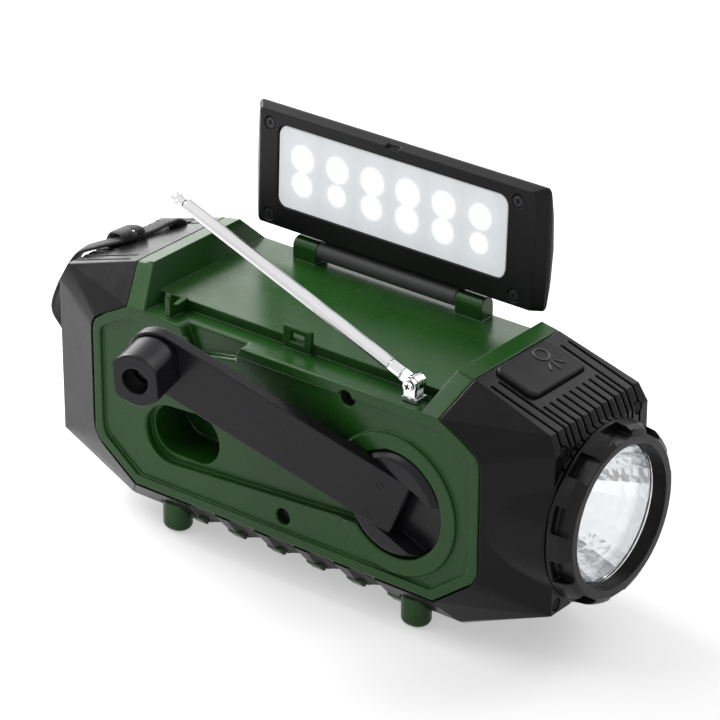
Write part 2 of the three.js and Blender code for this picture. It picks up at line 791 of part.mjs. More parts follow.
function capScrewCuts() {
  const profile = (r, depth) => latheX(rod(r, -depth, overrun), smallSteps);
  const places = [[-capScrewY, capScrewTopZ], [capScrewY, capScrewTopZ], [-capScrewLowY, capScrewLowZ]];
  return union(...places.map(([y, z]) => {
    const tool = profile(capScrewRadius + gap, capScrewSink + gap);
    const hole = profile(capScrewRadius / 2 + gap, capScrewLength + gap);
    return union(solid(tool.translate(endX, y, z)), solid(hole.translate(endX, y, z)));
  }));
}

function ribCuts(side) {
  const band = cut(envelope(-overrun), envelope(ribDepth));
  const ribs = [];
  const groove = (y, startX, lowZ, topZ) => {
    const [x0, x1] = side > 0 ? [startX, endX + overrun] : [-endX - overrun, -startX];
    ribs.push(solid(box(x0, x1, y - ribWidth / 2, y + ribWidth / 2, lowZ, topZ)));
  };
  for (let i = 0; i < ribCount; i += 1) {
    const y = (i - (ribCount - 1) / 2) * ribPitch;
    groove(y, ribStartX, ribLowZ, ridgeZ);
    groove(y, ribFootX, bellyZ, ribFootZ);
  }
  for (const y of sideRibY.flatMap((place) => [-place, place])) {
    groove(y, sideRibX, ribLowZ, ridgeZ);
  }
  return band.intersect(union(...ribs));
}

function endCap(side) {
  const shell = cut(outer, inner, caseBlock(greenOutline, gap / 2), caseBlock(trayOutline, gap / 2));
  const half = side > 0
    ? box(0, endX + overrun, -halfDepth - overrun, halfDepth + overrun, 0, ridgeZ)
    : box(-endX - overrun, 0, -halfDepth - overrun, halfDepth + overrun, 0, ridgeZ);
  return shell.intersect(solid(half));
}

// Right end with the flared seat of the torch, the button opening and the ribs
function rightCap() {
  const cone = (shrink, frontX) => solid(latheX([
    [0, torchFlareX], [torchFlareRadius - shrink, torchFlareX],
    [torchNeckRadius - shrink, torchBackX - gap], [torchNeckRadius - shrink, frontX], [0, frontX],
  ], roundSteps).translate(0, 0, torchZ));
  const flare = cut(cone(0, torchBackX - gap), caseBlock(greenOutline, gap / 2));
  const half = buttonLength / 2 + gap;
  const opening = roundedShape(-half, half, -buttonWidth / 2 - gap, buttonWidth / 2 + gap, buttonCorner + gap);
  const well = onSlope(extruded(opening, 4 * overrun).translate(0, 0, -2 * overrun), buttonX);
  return cut(
    union(endCap(1), cut(flare, inner)),
    cone(wall, torchBackX + overrun), solid(well), ribCuts(1), capScrewCuts(),
  );
}

// Left end with the slot that the wrist strap comes out of
function leftCap() {
  const [x, y] = strapRoute[1];
  const slot = box(-slotLength / 2, slotLength / 2, -slotAcross / 2, slotAcross / 2, -2 * overrun, 2 * overrun);
  const placed = onSlope(slot, -x, -1).translate(0, y, 0);
  return cut(endCap(-1), ribCuts(-1), solid(placed));
}

// Crank: hub, arm, knob and their pins
function crankHub() {
  const disc = hubLathe([
    [0, hubFrontY], [hubTopRadius, hubFrontY], [hubRadius, hubBevelY], [hubRadius, hubBackY],
    [hubAxleRadius, hubBackY], [hubAxleRadius, hubAxleEndY], [0, hubAxleEndY],
  ]);
  const half = armWidth / 2 + runFit;
  const channel = box(-2 * hubRadius, 2 * hubRadius, -2 * halfDepth, hubFloorY, -half, half);
  const pin = latheZ(rod(foldPinRadius + gap, -foldPinLength / 2 - gap, foldPinLength / 2 + gap), smallSteps);
  pin.translate(0, armPinY, 0);
  const turn = (g) => solid(turned(g, new THREE.Vector3(0, 1, 0), armSlope).translate(hubX, 0, hubZ));
  return cut(disc, turn(channel), turn(pin));
}

// Places a geometry of the unfolded arm, whose own x runs from the fold pin to the knob
function onArm(geometry) {
  turned(geometry, new THREE.Vector3(0, 0, 1), 180);
  geometry.scale(1, -1, 1);
  turned(geometry, new THREE.Vector3(0, 0, 1), armLean);
  turned(geometry, new THREE.Vector3(0, 1, 0), armSlope);
  return geometry.translate(hubX, armPinY, hubZ);
}

function crankArm() {
  const half = armWidth / 2;
  const shape = new THREE.Shape();
  shape.moveTo(-armTail, -half);
  shape.lineTo(armLength, -half);
  shape.absarc(armLength, 0, half, -Math.PI / 2, Math.PI / 2);
  shape.lineTo(-armTail, half);
  const plate = alongY(shape, -armThickness / 2, armThickness / 2, midSteps);
  const pin = latheZ(rod(foldPinRadius + gap, -armWidth, armWidth), smallSteps);
  const screw = lathe(rod(knobScrewRadius + gap, -armThickness, armThickness), smallSteps).translate(armLength, 0, 0);
  return cut(solid(onArm(plate)), solid(onArm(pin)), solid(onArm(screw)));
}

function crankKnob() {
  const y0 = -armThickness / 2 - gap;
  const y1 = y0 - knobHeight;
  const body = solid(lathe(rod(knobRadius, y1, y0), roundSteps));
  const flats = solid(box(-knobRadius - overrun, knobRadius + overrun, y1 - overrun, y0 + overrun,
    -knobFlat / 2, knobFlat / 2));
  const hole = solid(lathe(rod(knobHoleRadius, y1 - overrun, y1 + knobHoleDepth), midSteps));
  const bore = solid(lathe(rod(knobScrewRadius + gap, y1, y0 + overrun), smallSteps));
  const turn = new THREE.Matrix4().makeTranslation(armLength, 0, 0)
    .multiply(new THREE.Matrix4().makeRotationY(Math.PI / 2 + radians(armSlope)));
  return solid(onArm(surface(cut(body.intersect(flats), hole, bore)).applyMatrix4(turn)));
}

function knobScrew() {
  const y0 = -armThickness / 2 - gap;
  const seat = y0 - knobHeight + knobHoleDepth;
  const profile = [
    [0, seat - gap - knobScrewHeadHeight], [knobScrewHeadRadius, seat - gap - knobScrewHeadHeight],
    [knobScrewHeadRadius, seat - gap], [knobScrewRadius, seat - gap],
    [knobScrewRadius, armThickness / 2], [0, armThickness / 2],
  ];
  return solid(onArm(lathe(profile, midSteps).translate(armLength, 0, 0)));
}

function foldPin() {
  const pin = latheZ(rod(foldPinRadius, -foldPinLength / 2, foldPinLength / 2), smallSteps);
  return solid(turned(pin, new THREE.Vector3(0, 1, 0), armSlope).translate(hubX, armPinY, hubZ));
}

// Toothed wheel about the Y axis
function gear(radius, teeth, y0, y1, bore) {
  const points = [];
  for (let i = 0; i < teeth; i += 1) {
    for (const [share, r] of [[0, radius - toothHeight], [0.3, radius - toothHeight], [0.45, radius], [0.75, radius]]) {
      const angle = 2 * Math.PI * (i + share) / teeth;
      points.push([r * Math.cos(angle), r * Math.sin(angle)]);
    }
  }
  const wheel = solid(alongY(shapeOf(points), y0, y1));
  return cut(wheel, solid(lathe(rod(bore, y0 - overrun, y1 + overrun), smallSteps)));
}

const idlerX = hubX - driveGearRadius - idlerPinionRadius - gearMeshGap;
const rotorX = idlerX - idlerGearRadius - rotorPinionRadius - gearMeshGap;
const idlerGearY = driveGearY + gearThickness + gap;

function moved(manifold, x, y, z) {
  return manifold.translate([x, y, z]);
}

function driveGear() {
  const wheel = gear(driveGearRadius, driveTeeth, driveGearY, driveGearY + gearThickness, hubAxleRadius + runFit);
  return moved(wheel, hubX, 0, hubZ);
}

function idlerGear() {
  const small = gear(idlerPinionRadius, idlerPinionTeeth, driveGearY, idlerGearY + gap, idlerBore + runFit);
  const large = gear(idlerGearRadius, idlerTeeth, idlerGearY, idlerGearY + gearThickness, idlerBore + runFit);
  return moved(union(small, large), idlerX, 0, hubZ);
}

function generatorRotor() {
  const pinion = gear(rotorPinionRadius, rotorPinionTeeth, idlerGearY, idlerGearY + gearThickness, rotorShaftRadius / 2);
  const backY = plateY + plateThickness;
  const shaft = solid(lathe(rod(rotorShaftRadius, idlerGearY, backY + 2 * gap + rotorLength), smallSteps));
  const magnet = solid(lathe(rod(rotorRadius, backY + 2 * gap, backY + 2 * gap + rotorLength), midSteps));
  return moved(union(pinion, shaft, magnet), rotorX, 0, hubZ);
}

function generatorStator() {
  const backY = plateY + plateThickness;
  const can = union(
    solid(lathe(ring(statorBore, statorRadius, backY + gap, backY + statorLength), midSteps)),
    solid(lathe(rod(statorRadius, backY + statorLength - wall, backY + statorLength), midSteps)),
  );
  return moved(can, rotorX, 0, hubZ);
}

function gearPlate() {
  const sheet = solid(box(plateLeftX, plateRightX, plateY, plateY + plateThickness, plateLowZ, plateTopZ));
  const posts = [plateLeftX + postInset, plateRightX - postInset].flatMap((x) => (
    [plateLowZ + postInset, plateTopZ - postInset].map((z) => (
      solid(lathe(rod(postRadius, -halfDepth + wall + gap, plateY + gap), smallSteps).translate(x, 0, z))
    ))
  ));
  const idlerShaft = solid(lathe(rod(idlerBore, driveGearY - gap, plateY + gap), smallSteps)
    .translate(idlerX, 0, hubZ));
  const hole = (x, r) => solid(lathe(rod(r, plateY - overrun, plateY + 2 * overrun), smallSteps).translate(x, 0, hubZ));
  return cut(
    union(sheet, ...posts, idlerShaft),
    hole(hubX, hubAxleRadius + runFit), hole(rotorX, rotorShaftRadius + runFit),
  );
}

// Antenna, drawn lying along -X from its tilt pin and then raised
function onAntenna(geometry) {
  return turned(geometry, new THREE.Vector3(0, 1, 0), antennaTilt).translate(antennaX, antennaY, antennaZ);
}

function antennaLathe(profile, steps = smallSteps) {
  return solid(onAntenna(lathe(profile, steps).rotateZ(Math.PI / 2)));
}

function antennaBase() {
  const low = faceTopZ + gap;
  const post = latheZ([
    [0, low - wall], [tubeRadii[0], low - wall], [tubeRadii[0], low], [collarRadius, low],
    [collarRadius, low + collarHeight], [tubeRadii[0], low + collarHeight + gap],
    [tubeRadii[0], antennaZ - knuckleRadius + gap], [0, antennaZ - knuckleRadius + gap],
  ], midSteps);
  const width = tongueThickness / 2 + gap;
  const ears = [-1, 1].map((side) => {
    const y0 = side < 0 ? -width - earThickness : width;
    const disc = lathe(rod(tubeRadii[0] + gap, y0, y0 + earThickness), smallSteps).translate(0, 0, antennaZ);
    const leg = box(-tubeRadii[0], tubeRadii[0], y0, y0 + earThickness, low + collarHeight - gap, antennaZ);
    return union(solid(disc), solid(leg));
  });
  const seat = box(-collarRadius, collarRadius, -width - earThickness, width + earThickness, low, low + collarHeight);
  const hole = lathe(rod(antennaScrewRadius + runFit, -2 * overrun, 2 * overrun), smallSteps).translate(0, 0, antennaZ);
  const slot = box(-2 * overrun, 2 * overrun, -width, width, low + collarHeight, antennaZ + 2 * overrun);
  const base = cut(union(solid(post), solid(seat)), solid(slot));
  return moved(cut(union(base, ...ears), solid(hole)), antennaX, antennaY, 0);
}

function antennaKnuckle() {
  const half = tongueThickness / 2;
  const eye = lathe(rod(knuckleRadius - 2 * gap, -half, half), midSteps);
  const neck = box(-tubeStart + overrun, 0, -half, half, -knuckleRadius / 2, knuckleRadius / 2);
  const spigot = tubeBores[0] - gap / 2;
  const socket = lathe([
    [0, tubeStart / 2], [tubeRadii[0], tubeStart / 2], [tubeRadii[0], tubeStart - gap],
    [spigot, tubeStart - gap], [spigot, tubeStart + spigotLength], [0, tubeStart + spigotLength],
  ], midSteps).rotateZ(Math.PI / 2);
  const hole = lathe(rod(antennaScrewRadius + runFit, -2 * overrun, 2 * overrun), smallSteps);
  return cut(
    union(solid(onAntenna(eye)), solid(onAntenna(neck)), solid(onAntenna(socket))),
    solid(onAntenna(hole)),
  );
}

function antennaScrew() {
  const width = tongueThickness / 2 + gap + earThickness;
  const profile = [
    [0, -width - gap - 0.8 * antennaScrewRadius], [antennaScrewHead, -width - gap - 0.8 * antennaScrewRadius],
    [antennaScrewHead, -width - gap], [antennaScrewRadius, -width - gap],
    [antennaScrewRadius, width + gap], [0, width + gap],
  ];
  return solid(lathe(profile, smallSteps).translate(antennaX, antennaY, antennaZ));
}

const tubeEnd = tubeStart + tubeLength;

function antennaTube(level) {
  const start = level > 0 ? tubeStart + spigotLength + level * gap : tubeStart;
  return antennaLathe(ring(tubeBores[level], tubeRadii[level], start, tubeEnd + level * gap));
}

// The last section is a rod with a ball on its end
function antennaRod() {
  const sections = tubeRadii.length;
  const start = tubeStart + spigotLength + sections * gap;
  const neckStart = tubeEnd + sections * gap;
  const profile = [[0, start], [rodRadius, start], [rodRadius, neckStart], [neckRadius, neckStart]];
  const first = -Math.acos(neckRadius / tipRadius);
  for (let i = 0; i < tipSteps; i += 1) {
    const angle = first + (Math.PI / 2 - first) * i / tipSteps;
    profile.push([tipRadius * Math.cos(angle), tipPlace + tipRadius * Math.sin(angle)]);
  }
  profile.push([0, tipPlace + tipRadius]);
  return antennaLathe(profile);
}

// Lamp lid, drawn upright in its own frame
function onLid(geometry) {
  return geometry.rotateX(-radians(lidLean)).translate(0, lidHingeY, lidHingeZ);
}

function lidLoft(sections) {
  const points = sections.flatMap(([half, y, z0, z1, bulge]) => {
    const sides = [];
    for (let i = 0; i <= bulgeSteps; i += 1) {
      const share = i / bulgeSteps;
      const x = half + 4 * bulge * share * (1 - share);
      const z = z0 + lidCorner + (z1 - z0 - 2 * lidCorner) * share;
      sides.push([x, y, z], [-x, y, z]);
    }
    const ends = [z0, z1].flatMap((z) => [[-half + lidCorner, y, z], [half - lidCorner, y, z]]);
    return [...sides, ...ends];
  });
  return solid(new ConvexGeometry(points.map((p) => new THREE.Vector3(...p))));
}

function onLidSolid(manifold) {
  return solid(onLid(surface(manifold)));
}

const lidSplitY = lidFaceY + lidSkin + diffuserThickness + lampBoardThickness + 3 * gap;

function lidScrewTools(radius, y0, y1) {
  return union(...[lidShift - lidScrewX, lidShift + lidScrewX].flatMap((x) => (
    lidScrewZ.map((z) => solid(lathe(rod(radius, y0, y1), smallSteps).translate(x, 0, z)))
  )));
}

function lampFrame() {
  const block = lidLoft([
    [lidFaceHalf, lidFaceY, lidLowZ + lidFaceInset / 2, lidTopZ - lidFaceInset, 0],
    [lidHalf, lidSplitY - gap / 2, lidLowZ, lidTopZ, lidSplitBulge],
  ]);
  const opening = roundedShape(
    lidShift - diffuserHalf, lidShift + diffuserHalf, diffuserLowZ, diffuserTopZ, diffuserCorner,
  );
  const room = box(
    lidShift - diffuserHalf - wall, lidShift + diffuserHalf + wall, lidFaceY + lidSkin, lidSplitY,
    diffuserLowZ - wall, diffuserTopZ + wall,
  );
  const catchNotch = box(
    lidCatchX[0], lidCatchX[1], lidFaceY - overrun, lidFaceY + lidSkin,
    lidTopZ - lidFaceInset - lidCatchDepth, lidTopZ + overrun,
  );
  return onLidSolid(cut(
    block, solid(alongY(opening, lidFaceY - overrun, lidSplitY)), solid(room), solid(catchNotch),
    lidScrewTools(lidScrewRadius + runFit, lidFaceY - overrun, lidFaceY + lidSkin - gap),
    lidScrewTools(lidScrewRadius / 2 + runFit, lidFaceY - overrun, lidSplitY + overrun),
  ));
}

function lampCover() {
  const block = lidLoft([
    [lidHalf, lidSplitY + gap / 2, lidLowZ, lidTopZ, lidSplitBulge],
    [lidBackHalf, lidBackY, lidLowZ + lidFaceInset / 2, lidTopZ - lidFaceInset, lidBackBulge],
  ]);
  const barrelX0 = knuckleLeftX[1] + gap;
  const barrelX1 = knuckleRightX[0] - gap;
  const barrel = solid(latheX(rod(barrelRadius, barrelX0, barrelX1), midSteps));
  const web = solid(box(barrelX0, barrelX1, lidSplitY + gap / 2, barrelRadius - gap, 0, lidLowZ + lidSkin));
  const fingerSlot = solid(box(
    lidSlotX[0], lidSlotX[1], lidSplitY + gap / 2 + lidSkin / 2, lidBackY + overrun,
    lidTopZ - lidSlotDepth - lidFaceInset / 2, lidTopZ + overrun,
  ));
  const bore = solid(latheX(rod(hingePinRadius + runFit, -lidHalf, lidHalf), smallSteps));
  const seat = solid(box(
    -lidBackHalf + solarMargin, lidBackHalf - solarMargin, lidBackY - solarThickness - gap, lidBackY + overrun,
    lidLowZ + solarMargin, lidTopZ - solarMargin,
  ));
  return onLidSolid(cut(
    union(block, barrel, web), bore, seat, fingerSlot,
    lidScrewTools(lidScrewRadius / 2 + runFit, lidSplitY - overrun, lidBackY - lidSkin),
  ));
}

function lampDiffuser() {
  const plate = roundedShape(
    lidShift - diffuserHalf - wall + gap, lidShift + diffuserHalf + wall - gap, diffuserLowZ - wall + gap, diffuserTopZ + wall - gap,
    diffuserCorner,
  );
  const face = roundedShape(
    lidShift - diffuserHalf + gap, lidShift + diffuserHalf - gap, diffuserLowZ + gap, diffuserTopZ - gap, diffuserCorner - gap,
  );
  const backY = lidFaceY + lidSkin + gap;
  return onLidSolid(union(
    solid(alongY(face, lidFaceY + gap, backY + gap)),
    solid(alongY(plate, backY, backY + diffuserThickness)),
  ));
}

function lampBoard() {
  const backY = lidSplitY - gap;
  const sheet = solid(box(
    lidShift - diffuserHalf - wall + gap, lidShift + diffuserHalf + wall - gap, backY - lampBoardThickness, backY,
    diffuserLowZ - wall + gap, diffuserTopZ + wall - gap,
  ));
  return onLidSolid(sheet);
}

function solarCell() {
  return onLidSolid(solid(box(
    -lidBackHalf + solarMargin + gap, lidBackHalf - solarMargin - gap, lidBackY - solarThickness, lidBackY,
    lidLowZ + solarMargin + gap, lidTopZ - solarMargin - gap,
  )));
}

function lampScrew(x, z) {
  const headY = lidFaceY + gap / 2;
  const seatY = lidFaceY + lidSkin - 2 * gap;
  const tipY = lidBackY - lidSkin - gap;
  const profile = [
    [0, headY], [lidScrewRadius, headY], [lidScrewRadius, seatY],
    [lidScrewRadius / 2, seatY], [lidScrewRadius / 2, tipY], [0, tipY],
  ];
  return onLidSolid(solid(lathe(profile, smallSteps).translate(x, 0, z)));
}

function lidHingePin() {
  const pin = latheX(
    rod(hingePinRadius, knuckleLeftX[0] + gap, knuckleRightX[1] - hingePinCover - gap), smallSteps,
  );
  return solid(pin.translate(0, lidHingeY, lidHingeZ));
}

// Torch
function torchLathe(profile, steps = roundSteps) {
  return solid(latheX(profile, steps).translate(0, 0, torchZ));
}

function torchBezel() {
  const fall = torchRimRadius - torchFaceRadius;
  const body = torchLathe([
    [torchBore, torchBackX], [torchNeckRadius, torchBackX], [torchRimRadius, torchFrontX - torchRimFall],
    [torchRimRadius - rimEdgeShare * fall, torchFrontX - rimEdgeShare * torchRimFall],
    [torchFaceRadius, torchFrontX], [torchOpening, torchFrontX], [torchLip, torchLipX], [torchLip, torchLipX - gap],
    [torchBore, torchLipX - gap], [torchBore, torchBackX],
  ]);
  const notches = [];
  for (let i = 0; i < notchCount; i += 1) {
    const tool = box(
      torchFrontX - notchLength, torchFrontX + overrun, -notchWidth / 2, notchWidth / 2,
      torchRimRadius - notchDepth, torchRimRadius + overrun,
    );
    tool.rotateX(2 * Math.PI * i / notchCount).translate(0, 0, torchZ);
    notches.push(solid(tool));
  }
  return cut(body, ...notches);
}

const lensFrontX = torchLipX - 2 * gap;
const lensBackX = lensFrontX - lensThickness;
const rimBackX = lensBackX - gap;

function torchLens() {
  return torchLathe(rod(torchBore - gap, lensBackX, lensFrontX));
}

function torchReflector() {
  const steps = 8;
  const innerLine = [];
  const depth = reflectorDepth;
  const mouth = torchLip - gap;
  for (let i = 0; i <= steps; i += 1) {
    const share = i / steps;
    const r = reflectorThroat + (mouth - reflectorThroat) * Math.sqrt(share);
    innerLine.push([r, rimBackX - depth + depth * share]);
  }
  const outerLine = innerLine.map(([r, x]) => [r + reflectorWall, x]).reverse();
  outerLine[0] = [torchBore - gap, rimBackX];
  outerLine.splice(1, 0, [torchBore - gap, rimBackX - reflectorWall]);
  const flange = outerLine[2];
  outerLine[2] = [Math.min(flange[0], torchBore - gap - reflectorWall / 2), rimBackX - reflectorWall - gap];
  return torchLathe([...innerLine, ...outerLine, innerLine[0]], midSteps);
}

function torchLed() {
  const backX = rimBackX - reflectorDepth;
  return torchLathe([
    [0, backX - gap - ledBoardThickness], [ledBoardRadius, backX - gap - ledBoardThickness],
    [ledBoardRadius, backX - gap], [ledRadius, backX - gap], [ledRadius, backX + ledBoardThickness],
    [ledRadius / 2, backX + 2 * ledBoardThickness], [0, backX + 2 * ledBoardThickness],
  ], midSteps);
}

function torchButton() {
  const half = buttonLength / 2;
  const shape = roundedShape(-half, half, -buttonWidth / 2, buttonWidth / 2, buttonCorner);
  return solid(onSlope(extruded(shape, buttonProud + buttonDepth).translate(0, 0, -buttonDepth), buttonX));
}

// Screws that hold the ends on, sunk in their end faces
function capScrew(y, z) {
  const head = capScrewSink;
  const profile = [
    [0, -capScrewLength], [capScrewRadius / 2, -capScrewLength], [capScrewRadius / 2, -head],
    [capScrewRadius, -head], [capScrewRadius, -gap], [0, -gap],
  ];
  const screw = latheX(profile, smallSteps);
  return solid(screw.translate(endX, y, z));
}

function faceScrew([x, z]) {
  const fieldY = -halfDepth + fieldDepth;
  const seat = fieldY + faceScrewSink - gap;
  const top = seat - faceScrewHead;
  const profile = [
    [0, top], [faceScrewHole - gap, top], [faceScrewHole - gap, seat],
    [faceScrewHole / 2, seat], [faceScrewHole / 2, seat + capScrewLength], [0, seat + capScrewLength],
  ];
  return solid(lathe(profile, smallSteps).translate(x, 0, z));
}

function foot([x, y]) {
  const shape = roundedShape(-footLength / 2 - footRadius, footLength / 2 + footRadius, -footRadius, footRadius,
    footRadius * fullRoundShare);
  const block = solid(extruded(shape, footTopZ, cornerSteps + cornerSteps / 2));
  const points = [];
  for (const [share, z] of [[0.45, 0], [0.75, footCrown / 4], [0.93, footCrown / 2], [1, footCrown], [1, footTopZ]]) {
    for (let i = 0; i < midSteps; i += 1) {
      const angle = 2 * Math.PI * i / midSteps;
      const side = Math.sign(Math.cos(angle)) * footLength / 2;
      points.push(new THREE.Vector3(side + share * footRadius * Math.cos(angle), share * footRadius * Math.sin(angle), z));
    }
  }
  return moved(block.intersect(solid(new ConvexGeometry(points))), x, y, 0);
}

// Inside: battery, board, speaker
function batteryCell() {
  const nub = cellRadius / 3;
  return moved(solid(latheX([
    [0, -cellLength / 2], [cellRadius, -cellLength / 2], [cellRadius, cellLength / 2 - gap],
    [nub, cellLength / 2 - gap], [nub, cellLength / 2], [0, cellLength / 2],
  ], midSteps)), cellX, cellY, cellZ);
}

function batteryHolder() {
  const floorZ = bellyZ + trayWall + gap;
  const half = cellLength / 2 + gap + holderWall;
  const side = cellRadius + gap + holderWall / 2;
  const tray = box(cellX - half, cellX + half, cellY - side, cellY + side, floorZ, cellZ);
  const room = latheX(rod(cellRadius + gap, -cellLength / 2 - gap, cellLength / 2 + gap), midSteps);
  return cut(solid(tray), moved(solid(room), cellX, cellY, cellZ));
}

function mainBoard() {
  const sheet = alongY(shapeOf([
    [boardLeftX, boardLowZ], [boardHipX, boardLowZ], [boardRightX, boardHipZ],
    [boardRightX, boardTopZ], [boardLeftX, boardTopZ],
  ]), boardY, boardY + boardThickness);
  const chip = box(boardLeftX + 5 * postInset, boardLeftX + 8 * postInset, boardY - boardThickness, boardY + gap,
    boardLowZ + 3 * postInset, boardLowZ + 6 * postInset);
  const coil = box(boardRightX - 6 * postInset, boardRightX - 3 * postInset, boardY - 3 * boardThickness, boardY + gap,
    boardTopZ - 5 * postInset, boardTopZ - 2 * postInset);
  return union(solid(sheet), solid(chip), solid(coil));
}

function speaker() {
  const faceY = halfDepth - wall - gap;
  const cone = lathe([
    [0, faceY - speakerDepth], [magnetRadius, faceY - speakerDepth],
    [magnetRadius, faceY - speakerDepth + magnetDepth], [speakerRadius - wall, faceY - wall],
    [speakerRadius, faceY - wall], [speakerRadius, faceY], [speakerRadius - wall / 2, faceY],
    [magnetRadius / 2, faceY - speakerDepth + magnetDepth + wall],
    [0, faceY - speakerDepth + magnetDepth + wall],
  ], midSteps);
  return moved(solid(cone), speakerX, 0, speakerZ);
}

function dialWindow() {
  return solid(box(
    dialX - dialHalf + gap, dialX + dialHalf - gap, halfDepth - dialThickness, halfDepth,
    dialZ - dialHeight / 2 + gap, dialZ + dialHeight / 2 - gap,
  ));
}

function dialPointer() {
  const y = halfDepth - dialThickness - 2 * gap;
  return solid(box(
    dialX - pointerTravel / 2 - pointerWidth / 2, dialX - pointerTravel / 2 + pointerWidth / 2,
    y - pointerWidth, y - gap / 2, dialZ - dialHeight / 2 + wall / 2 + gap, dialZ + dialHeight / 2 - wall / 2 - gap,
  ));
}

function rearKnob([x, z]) {
  const points = [];
  const steps = 2 * rearKnobFlutes;
  for (let i = 0; i < steps; i += 1) {
    const r = rearKnobRadius - (i % 2) * gap;
    const angle = 2 * Math.PI * i / steps;
    points.push([r * Math.cos(angle), r * Math.sin(angle)]);
  }
  const cap = solid(alongY(shapeOf(points), halfDepth + gap, halfDepth + gap + rearKnobProud));
  const shaft = solid(lathe(rod(rearKnobShaft, boardY + boardThickness + gap, halfDepth + 2 * gap), smallSteps));
  return moved(union(cap, shaft), x, 0, z);
}

function bandSwitch() {
  const x = switchX - switchTravel / 2;
  return union(
    solid(box(x - switchLength / 2, x + switchLength / 2, halfDepth - wall, halfDepth + switchProud,
      switchZ - switchHeight / 2, switchZ + switchHeight / 2)),
    solid(box(x - switchLength / 4, x + switchLength / 4, boardY + boardThickness + gap, halfDepth - wall + gap,
      switchZ - switchHeight / 4, switchZ + switchHeight / 4)),
  );
}

function socketFlap() {
  const y1 = halfDepth;
  const y0 = halfDepth - flapThickness;
  const plate = box(flapX - flapHalf, flapX + flapHalf, y0, y1, flapZ - flapHeight / 2 + gap, flapZ + flapHeight / 2);
  const bead = latheX(rod(flapHingeRadius, flapX - flapHalf, flapX + flapHalf), smallSteps);
  return union(solid(plate), solid(bead.translate(0, y1 - flapHingeRadius, flapZ - flapHeight / 2 + gap)));
}

// Wrist strap: a flat band swept along its route, its face turned as each point of the route says
function wristStrap() {
  const places = strapRoute.map((point) => new THREE.Vector3(...point.slice(0, 3)));
  const faces = strapRoute.map((point) => new THREE.Vector3(...point.slice(3)));
  const curve = new THREE.CatmullRomCurve3(places, false, 'centripetal');
  const facing = new THREE.CatmullRomCurve3(faces, false, 'centripetal');
  const rings = [];
  for (let i = 0; i <= strapSteps; i += 1) {
    const share = i / strapSteps;
    const at = curve.getPoint(share);
    const along = curve.getTangent(share).normalize();
    const across = new THREE.Vector3().crossVectors(along, facing.getPoint(share)).normalize();
    const up = new THREE.Vector3().crossVectors(across, along).normalize();
    rings.push([[1, 1], [-1, 1], [-1, -1], [1, -1]].map(([a, b]) => at.clone()
      .addScaledVector(across, a * strapWidth / 2)
      .addScaledVector(up, b * strapThickness / 2)));
  }
  const positions = rings.flat().flatMap((p) => p.toArray());
  const index = [0, 1, 2, 0, 2, 3];
  for (let i = 0; i < strapSteps; i += 1) {
    for (let j = 0; j < 4; j += 1) {
      const a = 4 * i + j;
      const b = 4 * i + (j + 1) % 4;
      index.push(a, a + 4, b, b, a + 4, b + 4);
    }
  }
  const last = 4 * strapSteps;
  index.push(last, last + 2, last + 1, last, last + 3, last + 2);
  const geometry = new THREE.BufferGeometry();
  geometry.setAttribute('position', new THREE.Float32BufferAttribute(positions, 3));
  geometry.setIndex(index);
  const knot = new THREE.SphereGeometry(1, smallSteps, smallSteps / 2).scale(...knotHalf);
  knot.applyMatrix4(new THREE.Matrix4().makeRotationY(-radians(slopeAngle))).translate(...knotPlace);
  return union(solid(geometry), solid(knot));
}

// Colours from the object
const finishes = {
  green: { color: 0x1f4a22, roughness: 0.42, metalness: 0 },
  black: { color: 0x17171a, roughness: 0.5, metalness: 0 },
  charcoal: { color: 0x2b2930, roughness: 0.5, metalness: 0 },
  rubber: { color: 0x202024, roughness: 0.85, metalness: 0 },
  chrome: { color: 0xd9dadd, roughness: 0.14, metalness: 1 },
  steel: { color: 0x9a9a9c, roughness: 0.35, metalness: 1 },
  brass: { color: 0xb0935a, roughness: 0.35, metalness: 1 },
  clear: { color: 0xeef2f4, roughness: 0.05, metalness: 0 },
  white: { color: 0xf2f4f6, roughness: 0.5, metalness: 0 },
  silver: { color: 0xe6e8ea, roughness: 0.12, metalness: 1 },
  solar: { color: 0x10182c, roughness: 0.2, metalness: 0 },
  board: { color: 0x1d5a3a, roughness: 0.6, metalness: 0 },
  nylon: { color: 0xd8d6cc, roughness: 0.5, metalness: 0 },
  webbing: { color: 0x1b1b1d, roughness: 0.9, metalness: 0 },
  cell: { color: 0x2f6fa8, roughness: 0.45, metalness: 0 },
};

const radio = new THREE.Group();

function add(name, manifold, finish) {
  const mesh = new THREE.Mesh(surface(manifold), new THREE.MeshStandardMaterial(finishes[finish]));
  mesh.name = name;
  radio.add(mesh);
}

add('main_case', mainCase(), 'green');
add('rear_cover', rearCover(), 'green');
add('bottom_tray', bottomTray(), 'black');
add('grip_strip', gripStrip(), 'green');
add('left_end_cap', leftCap(), 'black');
add('right_end_cap', rightCap(), 'black');
['foot_front_left', 'foot_front_right', 'foot_rear_left', 'foot_rear_right'].forEach((name, i) => {
  add(name, foot(footPlaces[i]), 'green');
});
faceScrewPlaces.forEach((place, i) => add(`face_screw_${i + 1}`, faceScrew(place), 'steel'));
add('end_screw_right_front', capScrew(-capScrewY, capScrewTopZ), 'steel');
add('end_screw_right_rear', capScrew(capScrewY, capScrewTopZ), 'steel');
add('end_screw_right_low', capScrew(-capScrewLowY, capScrewLowZ), 'steel');

